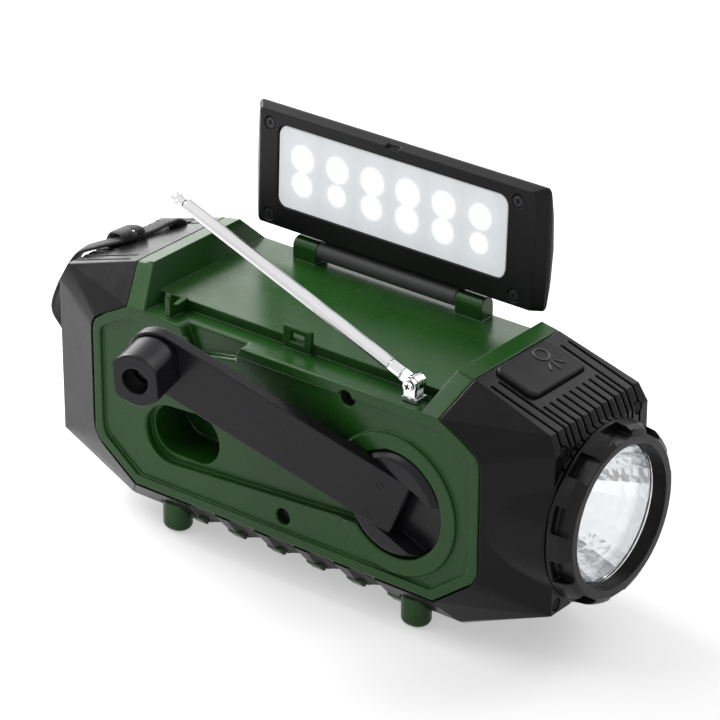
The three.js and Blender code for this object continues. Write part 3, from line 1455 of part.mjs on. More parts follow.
add('crank_hub', crankHub(), 'charcoal');
add('crank_arm', crankArm(), 'charcoal');
add('crank_fold_pin', foldPin(), 'steel');
add('crank_knob', crankKnob(), 'charcoal');
add('crank_knob_screw', knobScrew(), 'steel');
add('drive_gear', driveGear(), 'nylon');
add('idler_gear', idlerGear(), 'nylon');
add('generator_rotor', generatorRotor(), 'steel');
add('generator_stator', generatorStator(), 'steel');
add('gear_plate', gearPlate(), 'brass');

add('antenna_base', antennaBase(), 'chrome');
add('antenna_knuckle', antennaKnuckle(), 'chrome');
add('antenna_screw', antennaScrew(), 'chrome');
tubeRadii.forEach((radius, level) => add(`antenna_tube_${level + 1}`, antennaTube(level), 'chrome'));
add('antenna_rod', antennaRod(), 'chrome');

add('lamp_frame', lampFrame(), 'black');
add('lamp_cover', lampCover(), 'black');
add('lamp_diffuser', lampDiffuser(), 'white');
add('lamp_board', lampBoard(), 'white');
add('solar_cell', solarCell(), 'solar');
[lidShift - lidScrewX, lidShift + lidScrewX].forEach((x, i) => lidScrewZ.forEach((z, j) => {
  add(`lamp_screw_${2 * i + j + 1}`, lampScrew(x, z), 'steel');
}));
add('lid_hinge_pin', lidHingePin(), 'steel');

add('torch_bezel', torchBezel(), 'black');
add('torch_lens', torchLens(), 'clear');
add('torch_reflector', torchReflector(), 'silver');
add('torch_led', torchLed(), 'white');
add('torch_button', torchButton(), 'rubber');

add('battery_cell', batteryCell(), 'cell');
add('battery_holder', batteryHolder(), 'black');
add('main_board', mainBoard(), 'board');
add('speaker', speaker(), 'steel');
add('dial_window', dialWindow(), 'clear');
add('dial_pointer', dialPointer(), 'brass');
add('tuning_knob', rearKnob([tuningKnobX, rearKnobZ]), 'charcoal');
add('volume_knob', rearKnob([volumeKnobX, rearKnobZ]), 'charcoal');
add('band_switch', bandSwitch(), 'charcoal');
add('socket_flap', socketFlap(), 'rubber');
add('wrist_strap', wristStrap(), 'webbing');

// The floor, under the middle of the box around everything but the strap, becomes the origin
const extent = new THREE.Box3();
for (const mesh of radio.children) {
  if (mesh.name !== 'wrist_strap') {
    extent.expandByObject(mesh);
  }
}
const middle = extent.getCenter(new THREE.Vector3());
for (const mesh of radio.children) {
  mesh.geometry.translate(-middle.x, -middle.y, -extent.min.z);
}

export default radio;
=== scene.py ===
# Wind-up emergency radio on its four feet: lamp lid up, crank arm across the front, antenna raised to the left.
# Lengths are in metres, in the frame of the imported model. at() takes millimetres from the middle of the bottom
# tray and the floor.

import json
import math

import bmesh
import bpy
from mathutils import Matrix, Vector
from mathutils.bvhtree import BVHTree

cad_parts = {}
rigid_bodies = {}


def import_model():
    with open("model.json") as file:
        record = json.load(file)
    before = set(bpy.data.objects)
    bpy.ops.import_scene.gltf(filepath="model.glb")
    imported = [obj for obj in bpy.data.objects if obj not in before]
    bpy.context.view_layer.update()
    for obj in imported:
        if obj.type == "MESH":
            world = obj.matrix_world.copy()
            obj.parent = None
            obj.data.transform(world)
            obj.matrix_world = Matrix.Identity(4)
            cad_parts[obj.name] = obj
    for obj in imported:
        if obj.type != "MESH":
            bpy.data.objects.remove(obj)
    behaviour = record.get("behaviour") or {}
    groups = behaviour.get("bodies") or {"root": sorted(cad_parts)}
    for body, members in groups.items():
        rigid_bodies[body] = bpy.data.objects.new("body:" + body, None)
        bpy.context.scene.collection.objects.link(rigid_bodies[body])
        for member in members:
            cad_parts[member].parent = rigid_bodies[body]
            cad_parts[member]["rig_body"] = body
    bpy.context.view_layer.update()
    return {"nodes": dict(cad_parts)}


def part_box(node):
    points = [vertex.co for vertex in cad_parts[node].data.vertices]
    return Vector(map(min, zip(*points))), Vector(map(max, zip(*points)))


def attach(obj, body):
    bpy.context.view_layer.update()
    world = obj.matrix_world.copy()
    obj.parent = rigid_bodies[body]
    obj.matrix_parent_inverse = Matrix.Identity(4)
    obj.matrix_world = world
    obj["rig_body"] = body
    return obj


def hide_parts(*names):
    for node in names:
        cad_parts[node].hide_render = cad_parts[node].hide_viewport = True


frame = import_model()
nodes = frame["nodes"]

tray_low, tray_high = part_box("bottom_tray")
HOME = Vector(((tray_low.x + tray_high.x) / 2, (tray_low.y + tray_high.y) / 2, 0))
MM = 0.001


def at(x, y, z):
    return HOME + Vector((x, y, z)) * MM


def add_object(name, data):
    obj = bpy.data.objects.new(name, data)
    bpy.context.scene.collection.objects.link(obj)
    return obj


# Camera, fitted to the corners in the photograph
AZIMUTH, ELEVATION, ROLL = math.radians(38.5), math.radians(26.5), 0.002
CAMERA_PLACE = at(646.664, -805.299, 578.841)

camera_data = bpy.data.cameras.new("camera")
camera_data.lens = 190
camera_data.sensor_width = 36
camera_data.clip_start = 0.05
camera_data.clip_end = 60
camera = add_object("camera", camera_data)
look = Vector((-math.sin(AZIMUTH) * math.cos(ELEVATION), math.cos(AZIMUTH) * math.cos(ELEVATION),
               -math.sin(ELEVATION)))
level = Vector((math.cos(AZIMUTH), math.sin(AZIMUTH), 0))
upright = level.cross(look)
right = level * math.cos(ROLL) + upright * math.sin(ROLL)
above = upright * math.cos(ROLL) - level * math.sin(ROLL)
turn = Matrix((right, above, -look)).transposed()
camera.matrix_world = Matrix.Translation(CAMERA_PLACE) @ turn.to_4x4()
bpy.context.scene.camera = camera


# Materials
NOISE_LOW, NOISE_HIGH = 0.3, 0.7    # where most of a noise's values lie


def linear(r, g, b):
    """The linear colour of three sRGB values from 0 to 255."""
    return tuple((c / 255 / 12.92) if c <= 10 else ((c / 255 + 0.055) / 1.055) ** 2.4 for c in (r, g, b)) + (1,)


def shade(colour, share):
    return tuple(min(1, c * share) for c in colour[:3]) + (1,)


def add_math(tree, operation, a, b=None, c=None, clamp=False):
    """A math node. Its inputs are numbers or other nodes' outputs."""
    node = tree.nodes.new("ShaderNodeMath")
    node.operation = operation
    node.use_clamp = clamp
    for socket, value in zip(node.inputs, (a, b, c)):
        if value is None:
            continue
        if isinstance(value, (int, float)):
            socket.default_value = value
        else:
            tree.links.new(value, socket)
    return node.outputs[0]


def seen_directly(tree):
    """1 for what is seen straight, mirrored or through the lens, and 0 for what only gives light."""
    path = tree.nodes.new("ShaderNodeLightPath")
    seen = add_math(tree, "ADD", path.outputs["Is Camera Ray"], path.outputs["Is Glossy Ray"])
    return add_math(tree, "ADD", seen, path.outputs["Is Transmission Ray"], clamp=True)


class Nodes:
    """The nodes of one material."""

    def __init__(self, name):
        self.material = bpy.data.materials.new(name)
        self.material.use_nodes = True
        self.tree = self.material.node_tree
        self.tree.nodes.clear()
        self.out = self.new("ShaderNodeOutputMaterial")
        self.coord = self.new("ShaderNodeTexCoord").outputs["Object"]

    def new(self, kind, **values):
        """A node with its settings and constant inputs. Mortar_Size stands for the input Mortar Size."""
        node = self.tree.nodes.new(kind)
        for key, value in values.items():
            if hasattr(node, key):
                setattr(node, key, value)
            else:
                node.inputs[key.replace("_", " ")].default_value = value
        return node

    def link(self, a, b):
        self.tree.links.new(a, b)

    def noise(self, scale, detail, rough=0.5, coord=None):
        node = self.new("ShaderNodeTexNoise", Scale=scale, Detail=detail, Roughness=rough)
        self.link(coord or self.coord, node.inputs["Vector"])
        return node.outputs["Fac"]

    def cells(self, scale):
        node = self.new("ShaderNodeTexVoronoi", Scale=scale)
        self.link(self.coord, node.inputs["Vector"])
        return node.outputs["Distance"]

    def axes(self, source=None):
        node = self.new("ShaderNodeSeparateXYZ")
        self.link(source or self.coord, node.inputs[0])
        return node.outputs

    def math(self, operation, a, b=None, c=None):
        return add_math(self.tree, operation, a, b, c)

    def ramp(self, source, low, high, out_low=0.0, out_high=1.0):
        node = self.new("ShaderNodeMapRange", From_Min=low, From_Max=high, To_Min=out_low, To_Max=out_high)
        self.link(source, node.inputs["Value"])
        return node.outputs["Result"]

    def spread(self, noise, low=0.0, high=1.0):
        """The noise brought to the range from low to high."""
        return self.ramp(noise, NOISE_LOW, NOISE_HIGH, low, high)

    def mix(self, factor, a, b):
        node = self.new("ShaderNodeMix", data_type="RGBA")
        factor_socket, colour_a, colour_b = node.inputs["Factor"], node.inputs[6], node.inputs[7]
        for socket, value in ((factor_socket, factor), (colour_a, a), (colour_b, b)):
            if isinstance(value, (tuple, float, int)):
                socket.default_value = value
            else:
                self.link(value, socket)
        return node.outputs[2]

    def bump(self, height, distance, strength, normal=None):
        node = self.new("ShaderNodeBump", Strength=strength, Distance=distance)
        self.link(height, node.inputs["Height"])
        if normal is not None:
            self.link(normal, node.inputs["Normal"])
        return node.outputs["Normal"]

    def soft_edge(self, radius):
        return self.new("ShaderNodeBevel", samples=6, Radius=radius).outputs["Normal"]

    def edge_mask(self, radius):
        """0 on faces, rising to 1 where the rounded normal turns away from the face's own."""
        dot = self.new("ShaderNodeVectorMath", operation="DOT_PRODUCT")
        self.link(self.soft_edge(radius), dot.inputs[0])
        self.link(self.new("ShaderNodeNewGeometry").outputs["True Normal"], dot.inputs[1])
        return self.ramp(self.math("SUBTRACT", 1.0, dot.outputs["Value"]), 0.02, 0.25)

    def surface(self, shader):
        self.link(shader, self.out.inputs["Surface"])
        return self.material

    def principled(self, colour=None, rough=None, normal=None, glow=None, **values):
        """The finished material: these four inputs are linked, the others are constants as in new."""
        body = self.new("ShaderNodeBsdfPrincipled", **values)
        linked = {"Base Color": colour, "Roughness": rough, "Normal": normal, "Emission Strength": glow}
        for key, source in linked.items():
            if source is not None:
                self.link(source, body.inputs[key])
        return self.surface(body.outputs[0])


# Plastic's texture: the scale, detail and roughness of each noise, and the part of its range that counts
CLOUD_NOISE, FLECK_NOISE, PATCH_NOISE = (38, 4, 0.6), (620, 2), (160, 3)
STREAK_NOISE, WAVE_NOISE = (90, 5, 0.65), (45, 2)
GRAIN_DETAIL, GRAIN_ROUGH, GRAIN_STRENGTH = 3, 0.6, 0.7
FLECK_RANGE, PATCH_RANGE, STREAK_RANGE = (0.62, 0.75), (0.35, 0.65), (0.25, 0.75)
FLECK_SHADE, FLECK_SHARE = 1.5, 0.1
# Edges lightened partly as worn spots and partly as a painted highlight: the rounding radius that finds them, and
# their least and most share
WEAR_AND_HIGHLIGHT_RADIUS, WEAR_AND_HIGHLIGHT_LEAST, WEAR_AND_HIGHLIGHT_MOST = 0.0006, 0.15, 0.5
# Painted shade: how far the ambient occlusion looks, and the part of its range that darkens the colour in hollows
PAINTED_SHADE_REACH, PAINTED_SHADE_RANGE = 0.014, (0.15, 0.75)
WAVE_SHARE = 1.6
SMOOTHER, ROUGHER = 0.05, 0.06


def plastic(name, colour, rough, grain=1500.0, depth=0.000012, wear_and_highlight=1.5, edge=0.0, mottle=0.12, specular=0.5,
            painted_recess_shade=0.0):
    """Moulded plastic: a clouded colour with paler flecks, edges lightened as worn and as a painted highlight,
    a painted shade in deep recesses, and a fine wavy grain.

    grain and depth are the grain's scale and height. wear and recess are the colour's share on edges, lightened as
    worn and as a painted highlight, and in deep recesses, darkened as a painted shade; mottle is how far its clouds
    stray. edge is the radius that softens the shading of edges.
    """
    n = Nodes(name)
    cloud = n.spread(n.noise(*CLOUD_NOISE))
    base = n.mix(cloud, shade(colour, 1 - mottle), shade(colour, 1 + mottle))
    fleck = n.ramp(n.noise(*FLECK_NOISE), *FLECK_RANGE, 0.0, FLECK_SHARE)
    base = n.mix(fleck, base, shade(colour, FLECK_SHADE))
    # Painted shade: the colour darkens in hollows and corners where less light reaches
    if painted_recess_shade:
        ao_for_painted_shade = n.new("ShaderNodeAmbientOcclusion", samples=4, Distance=PAINTED_SHADE_REACH).outputs["AO"]
        base = n.mix(n.ramp(ao_for_painted_shade, *PAINTED_SHADE_RANGE), shade(colour, painted_recess_shade), base)
    # Edges lighter in patches: partly worn, partly a painted highlight
    wear_and_highlight_patches = n.ramp(n.noise(*PATCH_NOISE), *PATCH_RANGE, WEAR_AND_HIGHLIGHT_LEAST, WEAR_AND_HIGHLIGHT_MOST)
    base = n.mix(n.math("MULTIPLY", n.edge_mask(WEAR_AND_HIGHLIGHT_RADIUS), wear_and_highlight_patches), base, shade(colour, wear_and_highlight))
    wave = n.math("MULTIPLY", n.noise(*WAVE_NOISE), WAVE_SHARE)
    height = n.math("ADD", n.noise(grain, GRAIN_DETAIL, GRAIN_ROUGH), wave)
    return n.principled(
        colour=base,
        rough=n.ramp(n.noise(*STREAK_NOISE), *STREAK_RANGE, rough - SMOOTHER, rough + ROUGHER),
        normal=n.bump(height, depth, GRAIN_STRENGTH, n.soft_edge(edge) if edge else None),
        Metallic=0.0, Specular_IOR_Level=specular)


BRUSH_STRETCH, BRUSH_NOISE, BRUSH_DEPTH = (600, 600, 60), (1.0, 4, 0.6), 0.000004
GLANCE_TINT = (0.02, 0.02, 0.02, 1)     # keeps grazing views from turning white


def metal(name, colour, rough):
    """Metal brushed along z."""
    n = Nodes(name)
    stretched = n.new("ShaderNodeMapping", Scale=BRUSH_STRETCH)
    n.link(n.coord, stretched.inputs["Vector"])
    brushed = n.noise(*BRUSH_NOISE, stretched.outputs[0])
    return n.principled(
        colour=n.mix(n.spread(n.noise(scale=25, detail=3)), shade(colour, 0.93), shade(colour, 1.04)),
        rough=n.spread(brushed, low=rough * 0.8, high=rough * 1.3),
        normal=n.bump(brushed, BRUSH_DEPTH, strength=0.5, normal=n.soft_edge(0.00015)),
        Metallic=1.0, Specular_Tint=GLANCE_TINT)


GREEN = (0.0125, 0.066, 0.0085, 1)
BLACK = linear(12, 12, 13)
CHARCOAL = linear(24, 22, 26)

# The green darkens in its hollows as a painted shade
green = plastic("green_plastic", GREEN, 0.27, wear_and_highlight=1.8, edge=0.0007, specular=0.25, painted_recess_shade=0.3)
black = plastic("black_plastic", BLACK, 0.26, wear_and_highlight=3.0, edge=0.0007, specular=0.15)
lid_black = plastic("lid_plastic", linear(13, 13, 14), 0.33, wear_and_highlight=2.6, edge=0.0004, specular=0.2)
charcoal = plastic("charcoal_plastic", CHARCOAL, 0.28, wear_and_highlight=2.2, edge=0.0006, specular=0.22)
rubber = plastic("black_rubber", linear(19, 19, 21), 0.5, grain=2600, depth=0.00003, wear_and_highlight=1.8, edge=0.0003,
                 specular=0.2)
cover_black = plastic("lid_cover_plastic", linear(66, 66, 68), 0.5, grain=2200, depth=0.00004, wear_and_highlight=1.6,
                      edge=0.0004, specular=0.3)
inner_black = plastic("inner_black", linear(26, 26, 27), 0.5, edge=0.0003)
nylon = plastic("nylon", linear(214, 210, 196), 0.45, edge=0.0002, wear_and_highlight=1.02, mottle=0.04)
chrome = metal("antenna_chrome", (0.76, 0.76, 0.77, 1), 0.12)
steel = metal("steel_parts", (0.55, 0.55, 0.56, 1), 0.28)
dark_steel = metal("black_screws", (0.05, 0.05, 0.055, 1), 0.35)
brass = metal("brass_plate", (0.72, 0.53, 0.27, 1), 0.3)

LENS_ROUGH = 0.03


def lens_material(name, tint):
    n = Nodes(name)
    return n.principled(
        colour=n.mix(n.spread(n.noise(scale=60, detail=3)), tint, shade(tint, 0.96)),
        rough=n.spread(n.noise(scale=300, detail=3), low=LENS_ROUGH * 0.6, high=LENS_ROUGH * 1.6),
        normal=n.bump(n.noise(scale=70, detail=2), distance=0.00002, strength=0.3),
        Metallic=0.0, Transmission_Weight=1.0, IOR=1.46)


clear = lens_material("clear_lens", (0.98, 0.99, 1.0, 1))
dial_clear = lens_material("dial_clear", (0.9, 0.92, 0.93, 1))


# The lamp's diffuser: milky plastic with a soft bright spot in front of each LED
LID_TILT = math.radians(2.4)
LED_PITCH, LED_SHIFT = 13.65, -0.3
LED_ROWS = {-4.2: (0.9, 0.8, 0.92, 1.0, 0.92, 0.76), 4.3: (1.0, 0.98, 1.02, 1.04, 1.0, 0.94)}   # z: spots' sizes
SPOT_RIM, SPOT_CORE = 0.005, 0.0034
HALO_RIM, HALO_CORE = 0.0115, 0.0035
BASE_GLOW, SPOT_GLOW, HALO_GLOW = 0.38, 0.45, 0.12

diffuser_low, diffuser_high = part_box("lamp_diffuser")
diffuser_mid = (diffuser_low + diffuser_high) / 2


def diffuser_material():
    n = Nodes("diffuser")
    axes = n.axes()
    spots = halo = None
    for z, sizes in LED_ROWS.items():
        for i, size in enumerate(sizes):
            x = (i - (len(sizes) - 1) / 2) * LED_PITCH + LED_SHIFT
            dx = n.math("SUBTRACT", axes[0], diffuser_mid.x + x * MM)
            dz = n.math("SUBTRACT", axes[2], diffuser_mid.z + z * MM * math.cos(LID_TILT))
            far = n.math("SQRT", n.math("ADD", n.math("MULTIPLY", dx, dx), n.math("MULTIPLY", dz, dz)))
            spot = n.ramp(far, SPOT_RIM * size, SPOT_CORE * size)
            ring = n.ramp(far, HALO_RIM, HALO_CORE)
            spots = spot if spots is None else n.math("ADD", spots, spot)
            halo = ring if halo is None else n.math("MAXIMUM", halo, ring)
    lit = n.math("MULTIPLY_ADD", halo, HALO_GLOW, n.math("MULTIPLY_ADD", spots, SPOT_GLOW, BASE_GLOW))
    return n.principled(
        glow=n.math("MULTIPLY", lit, n.spread(n.noise(scale=500, detail=3), low=0.97, high=1.03)),
        normal=n.bump(n.noise(scale=900, detail=2), distance=0.00001, strength=0.4),
        Metallic=0.0, Roughness=0.42, Base_Color=(0.5, 0.51, 0.53, 1), Specular_IOR_Level=0.3,
        Emission_Color=(0.93, 0.96, 1.0, 1))


diffuser = diffuser_material()


def reflector_material():
    n = Nodes("reflector")
    return n.principled(
        colour=n.mix(n.spread(n.noise(scale=60, detail=3)), (0.88, 0.89, 0.9, 1), (0.96, 0.97, 0.98, 1)),
        rough=n.spread(n.noise(scale=200, detail=2), low=0.1, high=0.18),
        normal=n.bump(n.cells(420), distance=0.0002, strength=0.5),
        Metallic=1.0)


reflector = reflector_material()


def led_material():
    n = Nodes("led")
    return n.principled(
        colour=n.mix(n.spread(n.noise(scale=300, detail=2)), (0.9, 0.86, 0.5, 1), (0.95, 0.93, 0.75, 1)),
        normal=n.bump(n.noise(scale=500, detail=2), distance=0.00001, strength=0.3, normal=n.soft_edge(0.0002)),
        Metallic=0.0, Roughness=0.2)


led = led_material()

# The solar cell's lines: half the distance between two of them and half their width
BUS_LINES, CELL_LINES, FINGER_LINES = (0.0095, 0.0005), (0.0085, 0.00035), (0.0009, 0.00009)
FINGER_SHARE = 0.45


def solar_material():
    n = Nodes("solar")
    axes = n.axes()

    def lines(axis, gap, width):
        return n.math("LESS_THAN", n.math("PINGPONG", axis, gap), width)

    bars = n.math("MAXIMUM", lines(axes[2], *BUS_LINES), lines(axes[0], *CELL_LINES))
    fingers = n.math("MULTIPLY", lines(axes[0], *FINGER_LINES), FINGER_SHARE)
    blue = n.mix(n.cells(150), (0.006, 0.011, 0.045, 1), (0.012, 0.022, 0.075, 1))
    return n.principled(
        colour=n.mix(n.math("MAXIMUM", bars, fingers), blue, (0.42, 0.43, 0.45, 1)),
        rough=n.spread(n.noise(scale=80, detail=2), low=0.12, high=0.2),
        Metallic=0.0, Coat_Weight=0.6)


solar = solar_material()


def board_material(name, colour, trace):
    n = Nodes(name)
    brick = n.new("ShaderNodeTexBrick", Scale=160, Mortar_Size=0.03, Color1=colour, Color2=shade(colour, 1.25),
                  Mortar=trace)
    n.link(n.coord, brick.inputs["Vector"])
    return n.principled(
        colour=brick.outputs["Color"],
        normal=n.bump(n.noise(scale=900, detail=2), distance=0.00002, strength=0.4, normal=n.soft_edge(0.0002)),
        Metallic=0.0, Roughness=0.4)


circuit = board_material("circuit_board", (0.012, 0.1, 0.04, 1), (0.05, 0.22, 0.1, 1))
lamp_board = board_material("lamp_board", (0.75, 0.76, 0.78, 1), (0.9, 0.9, 0.9, 1))
cell_wrap = plastic("cell_wrap", linear(47, 111, 168), 0.3, edge=0.0003, wear_and_highlight=1.1)

THREADS, WEAVE_PITCH = 9, 0.0011


def webbing_material():
    """Woven band: u is the length along it in metres, and v counts units of THREADS threads round it."""
    n = Nodes("webbing")
    axes = n.axes(n.new("ShaderNodeUVMap").outputs[0])
    across = n.math("SINE", n.math("MULTIPLY", axes[1], 2 * math.pi * THREADS))
    along = n.math("SINE", n.math("MULTIPLY", axes[0], 2 * math.pi / WEAVE_PITCH))
    weave = n.math("MULTIPLY", across, along)
    height = n.ramp(n.math("MULTIPLY_ADD", n.noise(scale=1400, detail=3), 0.5, weave), -1, 1.4)
    return n.principled(
        # The colour is darker where the weave lies low: a painted shade in its hollows
        colour=n.mix(height, linear(9, 9, 10), linear(30, 30, 33)),
        normal=n.bump(height, distance=0.00025, strength=0.9),
        Metallic=0.0, Roughness=0.75, Sheen_Weight=0.2, Sheen_Roughness=0.5)


webbing = webbing_material()


# Meshes
def new_object(name, bm, material, body, smooth=True):
    mesh = bpy.data.meshes.new(name)
    bm.normal_update()
    bm.to_mesh(mesh)
    bm.free()
    obj = add_object(name, mesh)
    mesh.materials.append(material)
    if smooth:
        for polygon in mesh.polygons:
            polygon.use_smooth = True
    if body:
        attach(obj, body)
    return obj


def rounded(x, power):
    """A power of x that keeps its sign: it squares off a circle's sine and cosine."""
    return math.copysign(abs(x) ** power, x)


def skin(bm, uv, rings, corners, uv_at):
    """Quads from ring to ring. corners has the steps (ring, point) to a quad's corners, in their order."""
    count = len(rings[0])
    for i in range(len(rings) - 1):
        for k in range(count):
            face = bm.faces.new([rings[i + a][(k + b) % count] for a, b in corners])
            for loop, (a, b) in zip(face.loops, corners):
                loop[uv].uv = uv_at(i + a, k + b)


# Wrist strap: a woven band on the route of the model's own strap.
# Each row has a place on its middle line, and the way that its outer face looks there.
STRAP_ROUTE = [
    (-78.4, 15.6, 77.5, 0, 1, 0), (-79.8, 15.3, 81.6, -0.15, 0.8, 0.6), (-81.6, 12.4, 82.3, -0.28, 0.1, 0.95),
    (-83.5, 7.6, 81.2, -0.3, 0, 0.95), (-86.2, 1.4, 80.2, -0.3, 0, 0.95), (-88.8, -4.2, 79.6, -0.3, 0, 0.95),
    (-92.0, -9.0, 78.9, -0.4, -0.05, 0.93), (-96.2, -11.6, 76.8, -0.75, -0.2, 0.6),
    (-99.2, -13.6, 71.5, -0.93, -0.3, 0.2), (-102.8, -14.6, 65, -0.93, -0.35, 0.1),
    (-106.8, -13, 57.5, -0.93, -0.35, 0.05), (-109.6, -6, 48, -0.98, -0.15, 0), (-110.6, 3.5, 35, -1, 0, 0),
    (-110, 12.5, 20.5, -0.98, 0.1, -0.1), (-108.2, 22.5, 9.4, -0.97, 0.2, 0), (-106, 34, 4.9, -0.93, 0.3, 0),
    (-103.6, 41.6, 4.3, -0.75, 0.65, 0), (-99.4, 44.7, 4.2, 0, 1, 0), (-95.4, 41.8, 4.3, 0.8, 0.6, 0),
    (-94.4, 34, 5, 1, 0.15, 0), (-96, 24, 10.4, 1, 0.1, 0), (-98, 16, 24, 1, 0, 0),
    (-98.4, 10, 44, 1, 0, 0), (-98, 6.4, 62, 0.98, 0, -0.1), (-97, 4.2, 73.4, 0.9, 0, -0.4),
    (-93.4, 2.6, 79.4, 0.45, 0, -0.9), (-88.6, 0.6, 81.6, 0.3, 0, -0.95),
]
STRAP_WIDTH, STRAP_THICKNESS = 8.0, 1.4
STRAP_STEPS, STRAP_SIDES = 9, 16
STRAP_V = 2                             # the units of thread round the strap
EDGE_POWER, FACE_POWER = 0.35, 0.7      # how square the section's edges and faces are
STRAP_CORNERS = ((0, 0), (0, 1), (1, 1), (1, 0))


def catmull(points, steps):
    """Centripetal Catmull-Rom through points, with steps places on each span."""
    ends = [points[0] * 2 - points[1]] + points + [points[-1] * 2 - points[-2]]
    out = []
    for i in range(1, len(ends) - 2):
        p = ends[i - 1:i + 3]
        t = [0]
        for a, b in zip(p, p[1:]):
            t.append(t[-1] + max((b - a).length, 1e-9) ** 0.5)
        for s in range(steps):
            u = t[1] + (t[2] - t[1]) * s / steps
            a1 = (p[0] * (t[1] - u) + p[1] * (u - t[0])) / (t[1] - t[0])
            a2 = (p[1] * (t[2] - u) + p[2] * (u - t[1])) / (t[2] - t[1])
            a3 = (p[2] * (t[3] - u) + p[3] * (u - t[2])) / (t[3] - t[2])
            b1 = (a1 * (t[2] - u) + a2 * (u - t[0])) / (t[2] - t[0])
            b2 = (a2 * (t[3] - u) + a3 * (u - t[1])) / (t[3] - t[1])
            out.append((b1 * (t[2] - u) + b2 * (u - t[1])) / (t[2] - t[1]))
    return out + [points[-1]]


def strap():
    places = catmull([at(*row[:3]) for row in STRAP_ROUTE], STRAP_STEPS)
    faces = catmull([Vector(row[3:]) for row in STRAP_ROUTE], STRAP_STEPS)
    section = []
    for k in range(STRAP_SIDES):
        a = 2 * math.pi * k / STRAP_SIDES
        section.append((rounded(math.cos(a), EDGE_POWER) * STRAP_WIDTH / 2 * MM,
                        rounded(math.sin(a), FACE_POWER) * STRAP_THICKNESS / 2 * MM))
    bm = bmesh.new()
    uv = bm.loops.layers.uv.new("UVMap")
    rings, lengths = [], [0.0]
    for i, place in enumerate(places):
        before, after = places[max(i - 1, 0)], places[min(i + 1, len(places) - 1)]
        along = (after - before).normalized()
        across = along.cross(faces[i]).normalized()
        up = across.cross(along).normalized()
        rings.append([bm.verts.new(place + across * a + up * b) for a, b in section])
        if i:
            lengths.append(lengths[-1] + (place - places[i - 1]).length)
    skin(bm, uv, rings, STRAP_CORNERS, lambda ring, side: (lengths[ring], side / STRAP_SIDES * STRAP_V))
    bm.faces.new(list(reversed(rings[0])))
    bm.faces.new(rings[-1])
    obj = new_object("wrist_strap_band", bm, webbing, "case")
    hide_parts("wrist_strap")
    return obj, places, lengths[-1]


KNOT_CENTRE = at(-87.2, -0.6, 81.2)
KNOT_SLOPE = math.radians(17.7)         # the left end's top face
KNOT_DOWN, KNOT_FORWARD = 0.36, 0.93    # how the band runs there: down that face, and to the front
KNOT_WIDE, KNOT_HIGH = 4.1 * MM, 1.6 * MM
KNOT_WRAPS = ((-2.3, 0.28), (0.2, -0.22), (2.5, 0.12))      # each wrap's shift along the band, and its slant
SLANT_REACH = 3.0
WRAP_HALF_WIDTH, WRAP_HALF_THICKNESS = 1.5, 0.55
WRAP_POWER = 0.7
WRAP_STEPS, WRAP_SIDES = 32, 10
WRAP_STEP_U, WRAP_V = 0.0008, 0.8
WRAP_CORNERS = ((0, 0), (1, 0), (1, 1), (0, 1))


def strap_knot():
    """The band's own end, wrapped round the band and pulled flat."""
    bm = bmesh.new()
    uv = bm.loops.layers.uv.new("UVMap")
    along = Vector((-math.cos(KNOT_SLOPE) * KNOT_DOWN, -KNOT_FORWARD, -math.sin(KNOT_SLOPE) * KNOT_DOWN))
    along.normalize()
    across = along.cross(Vector((-math.sin(KNOT_SLOPE), 0, math.cos(KNOT_SLOPE)))).normalized()
    normal = across.cross(along).normalized()
    for shift, slant in KNOT_WRAPS:
        rings = []
        for i in range(WRAP_STEPS + 1):
            a = 2 * math.pi * i / WRAP_STEPS
            c, s = math.cos(a), math.sin(a)
            mid = KNOT_CENTRE + across * rounded(c, WRAP_POWER) * KNOT_WIDE + normal * s * KNOT_HIGH
            mid += along * (shift + slant * c * SLANT_REACH) * MM
            out = (across * c / KNOT_WIDE + normal * s / KNOT_HIGH).normalized()
            ring = []
            for k in range(WRAP_SIDES):
                b = 2 * math.pi * k / WRAP_SIDES
                ring.append(bm.verts.new(mid + along * math.cos(b) * WRAP_HALF_WIDTH * MM
                                         + out * math.sin(b) * WRAP_HALF_THICKNESS * MM))
            rings.append(ring)
        skin(bm, uv, rings, WRAP_CORNERS, lambda step, side: (step * WRAP_STEP_U, side / WRAP_SIDES * WRAP_V))
    return new_object("wrist_strap_knot", bm, webbing, "case")


band, band_path, band_length = strap()
knot = strap_knot()


# Finishes of the model's own nodes
FINISH = {
    green: ["main_case", "rear_cover", "grip_strip", "foot_front_left", "foot_front_right", "foot_rear_left",
            "foot_rear_right"],
    black: ["bottom_tray", "left_end_cap", "right_end_cap"],
    lid_black: ["lamp_frame", "torch_bezel"],
    cover_black: ["lamp_cover"],
    charcoal: ["crank_hub", "crank_arm", "crank_knob", "tuning_knob", "volume_knob", "band_switch"],
    rubber: ["torch_button", "socket_flap"],
    inner_black: ["battery_holder", "speaker"],
    nylon: ["drive_gear", "idler_gear"],
    chrome: ["antenna_base", "antenna_knuckle", "antenna_screw", "antenna_tube_1", "antenna_tube_2",
             "antenna_tube_3", "antenna_rod"],
    steel: ["crank_fold_pin", "crank_knob_screw", "generator_rotor", "generator_stator", "lid_hinge_pin"],
    dark_steel: ["face_screw_1", "face_screw_2", "end_screw_right_front", "end_screw_right_rear",
                 "end_screw_right_low", "lamp_screw_1", "lamp_screw_2", "lamp_screw_3", "lamp_screw_4"],
    brass: ["gear_plate", "dial_pointer"],
    clear: ["torch_lens"],
    dial_clear: ["dial_window"],
    diffuser: ["lamp_diffuser"],
    reflector: ["torch_reflector"],
    led: ["torch_led"],
    solar: ["solar_cell"],
    lamp_board: ["lamp_board"],
    circuit: ["main_board"],
    cell_wrap: ["battery_cell"],
    webbing: ["wrist_strap"],
}
for material, names in FINISH.items():
    for name in names:
        mesh = nodes[name].data
        mesh.materials.clear()
        mesh.materials.append(material)
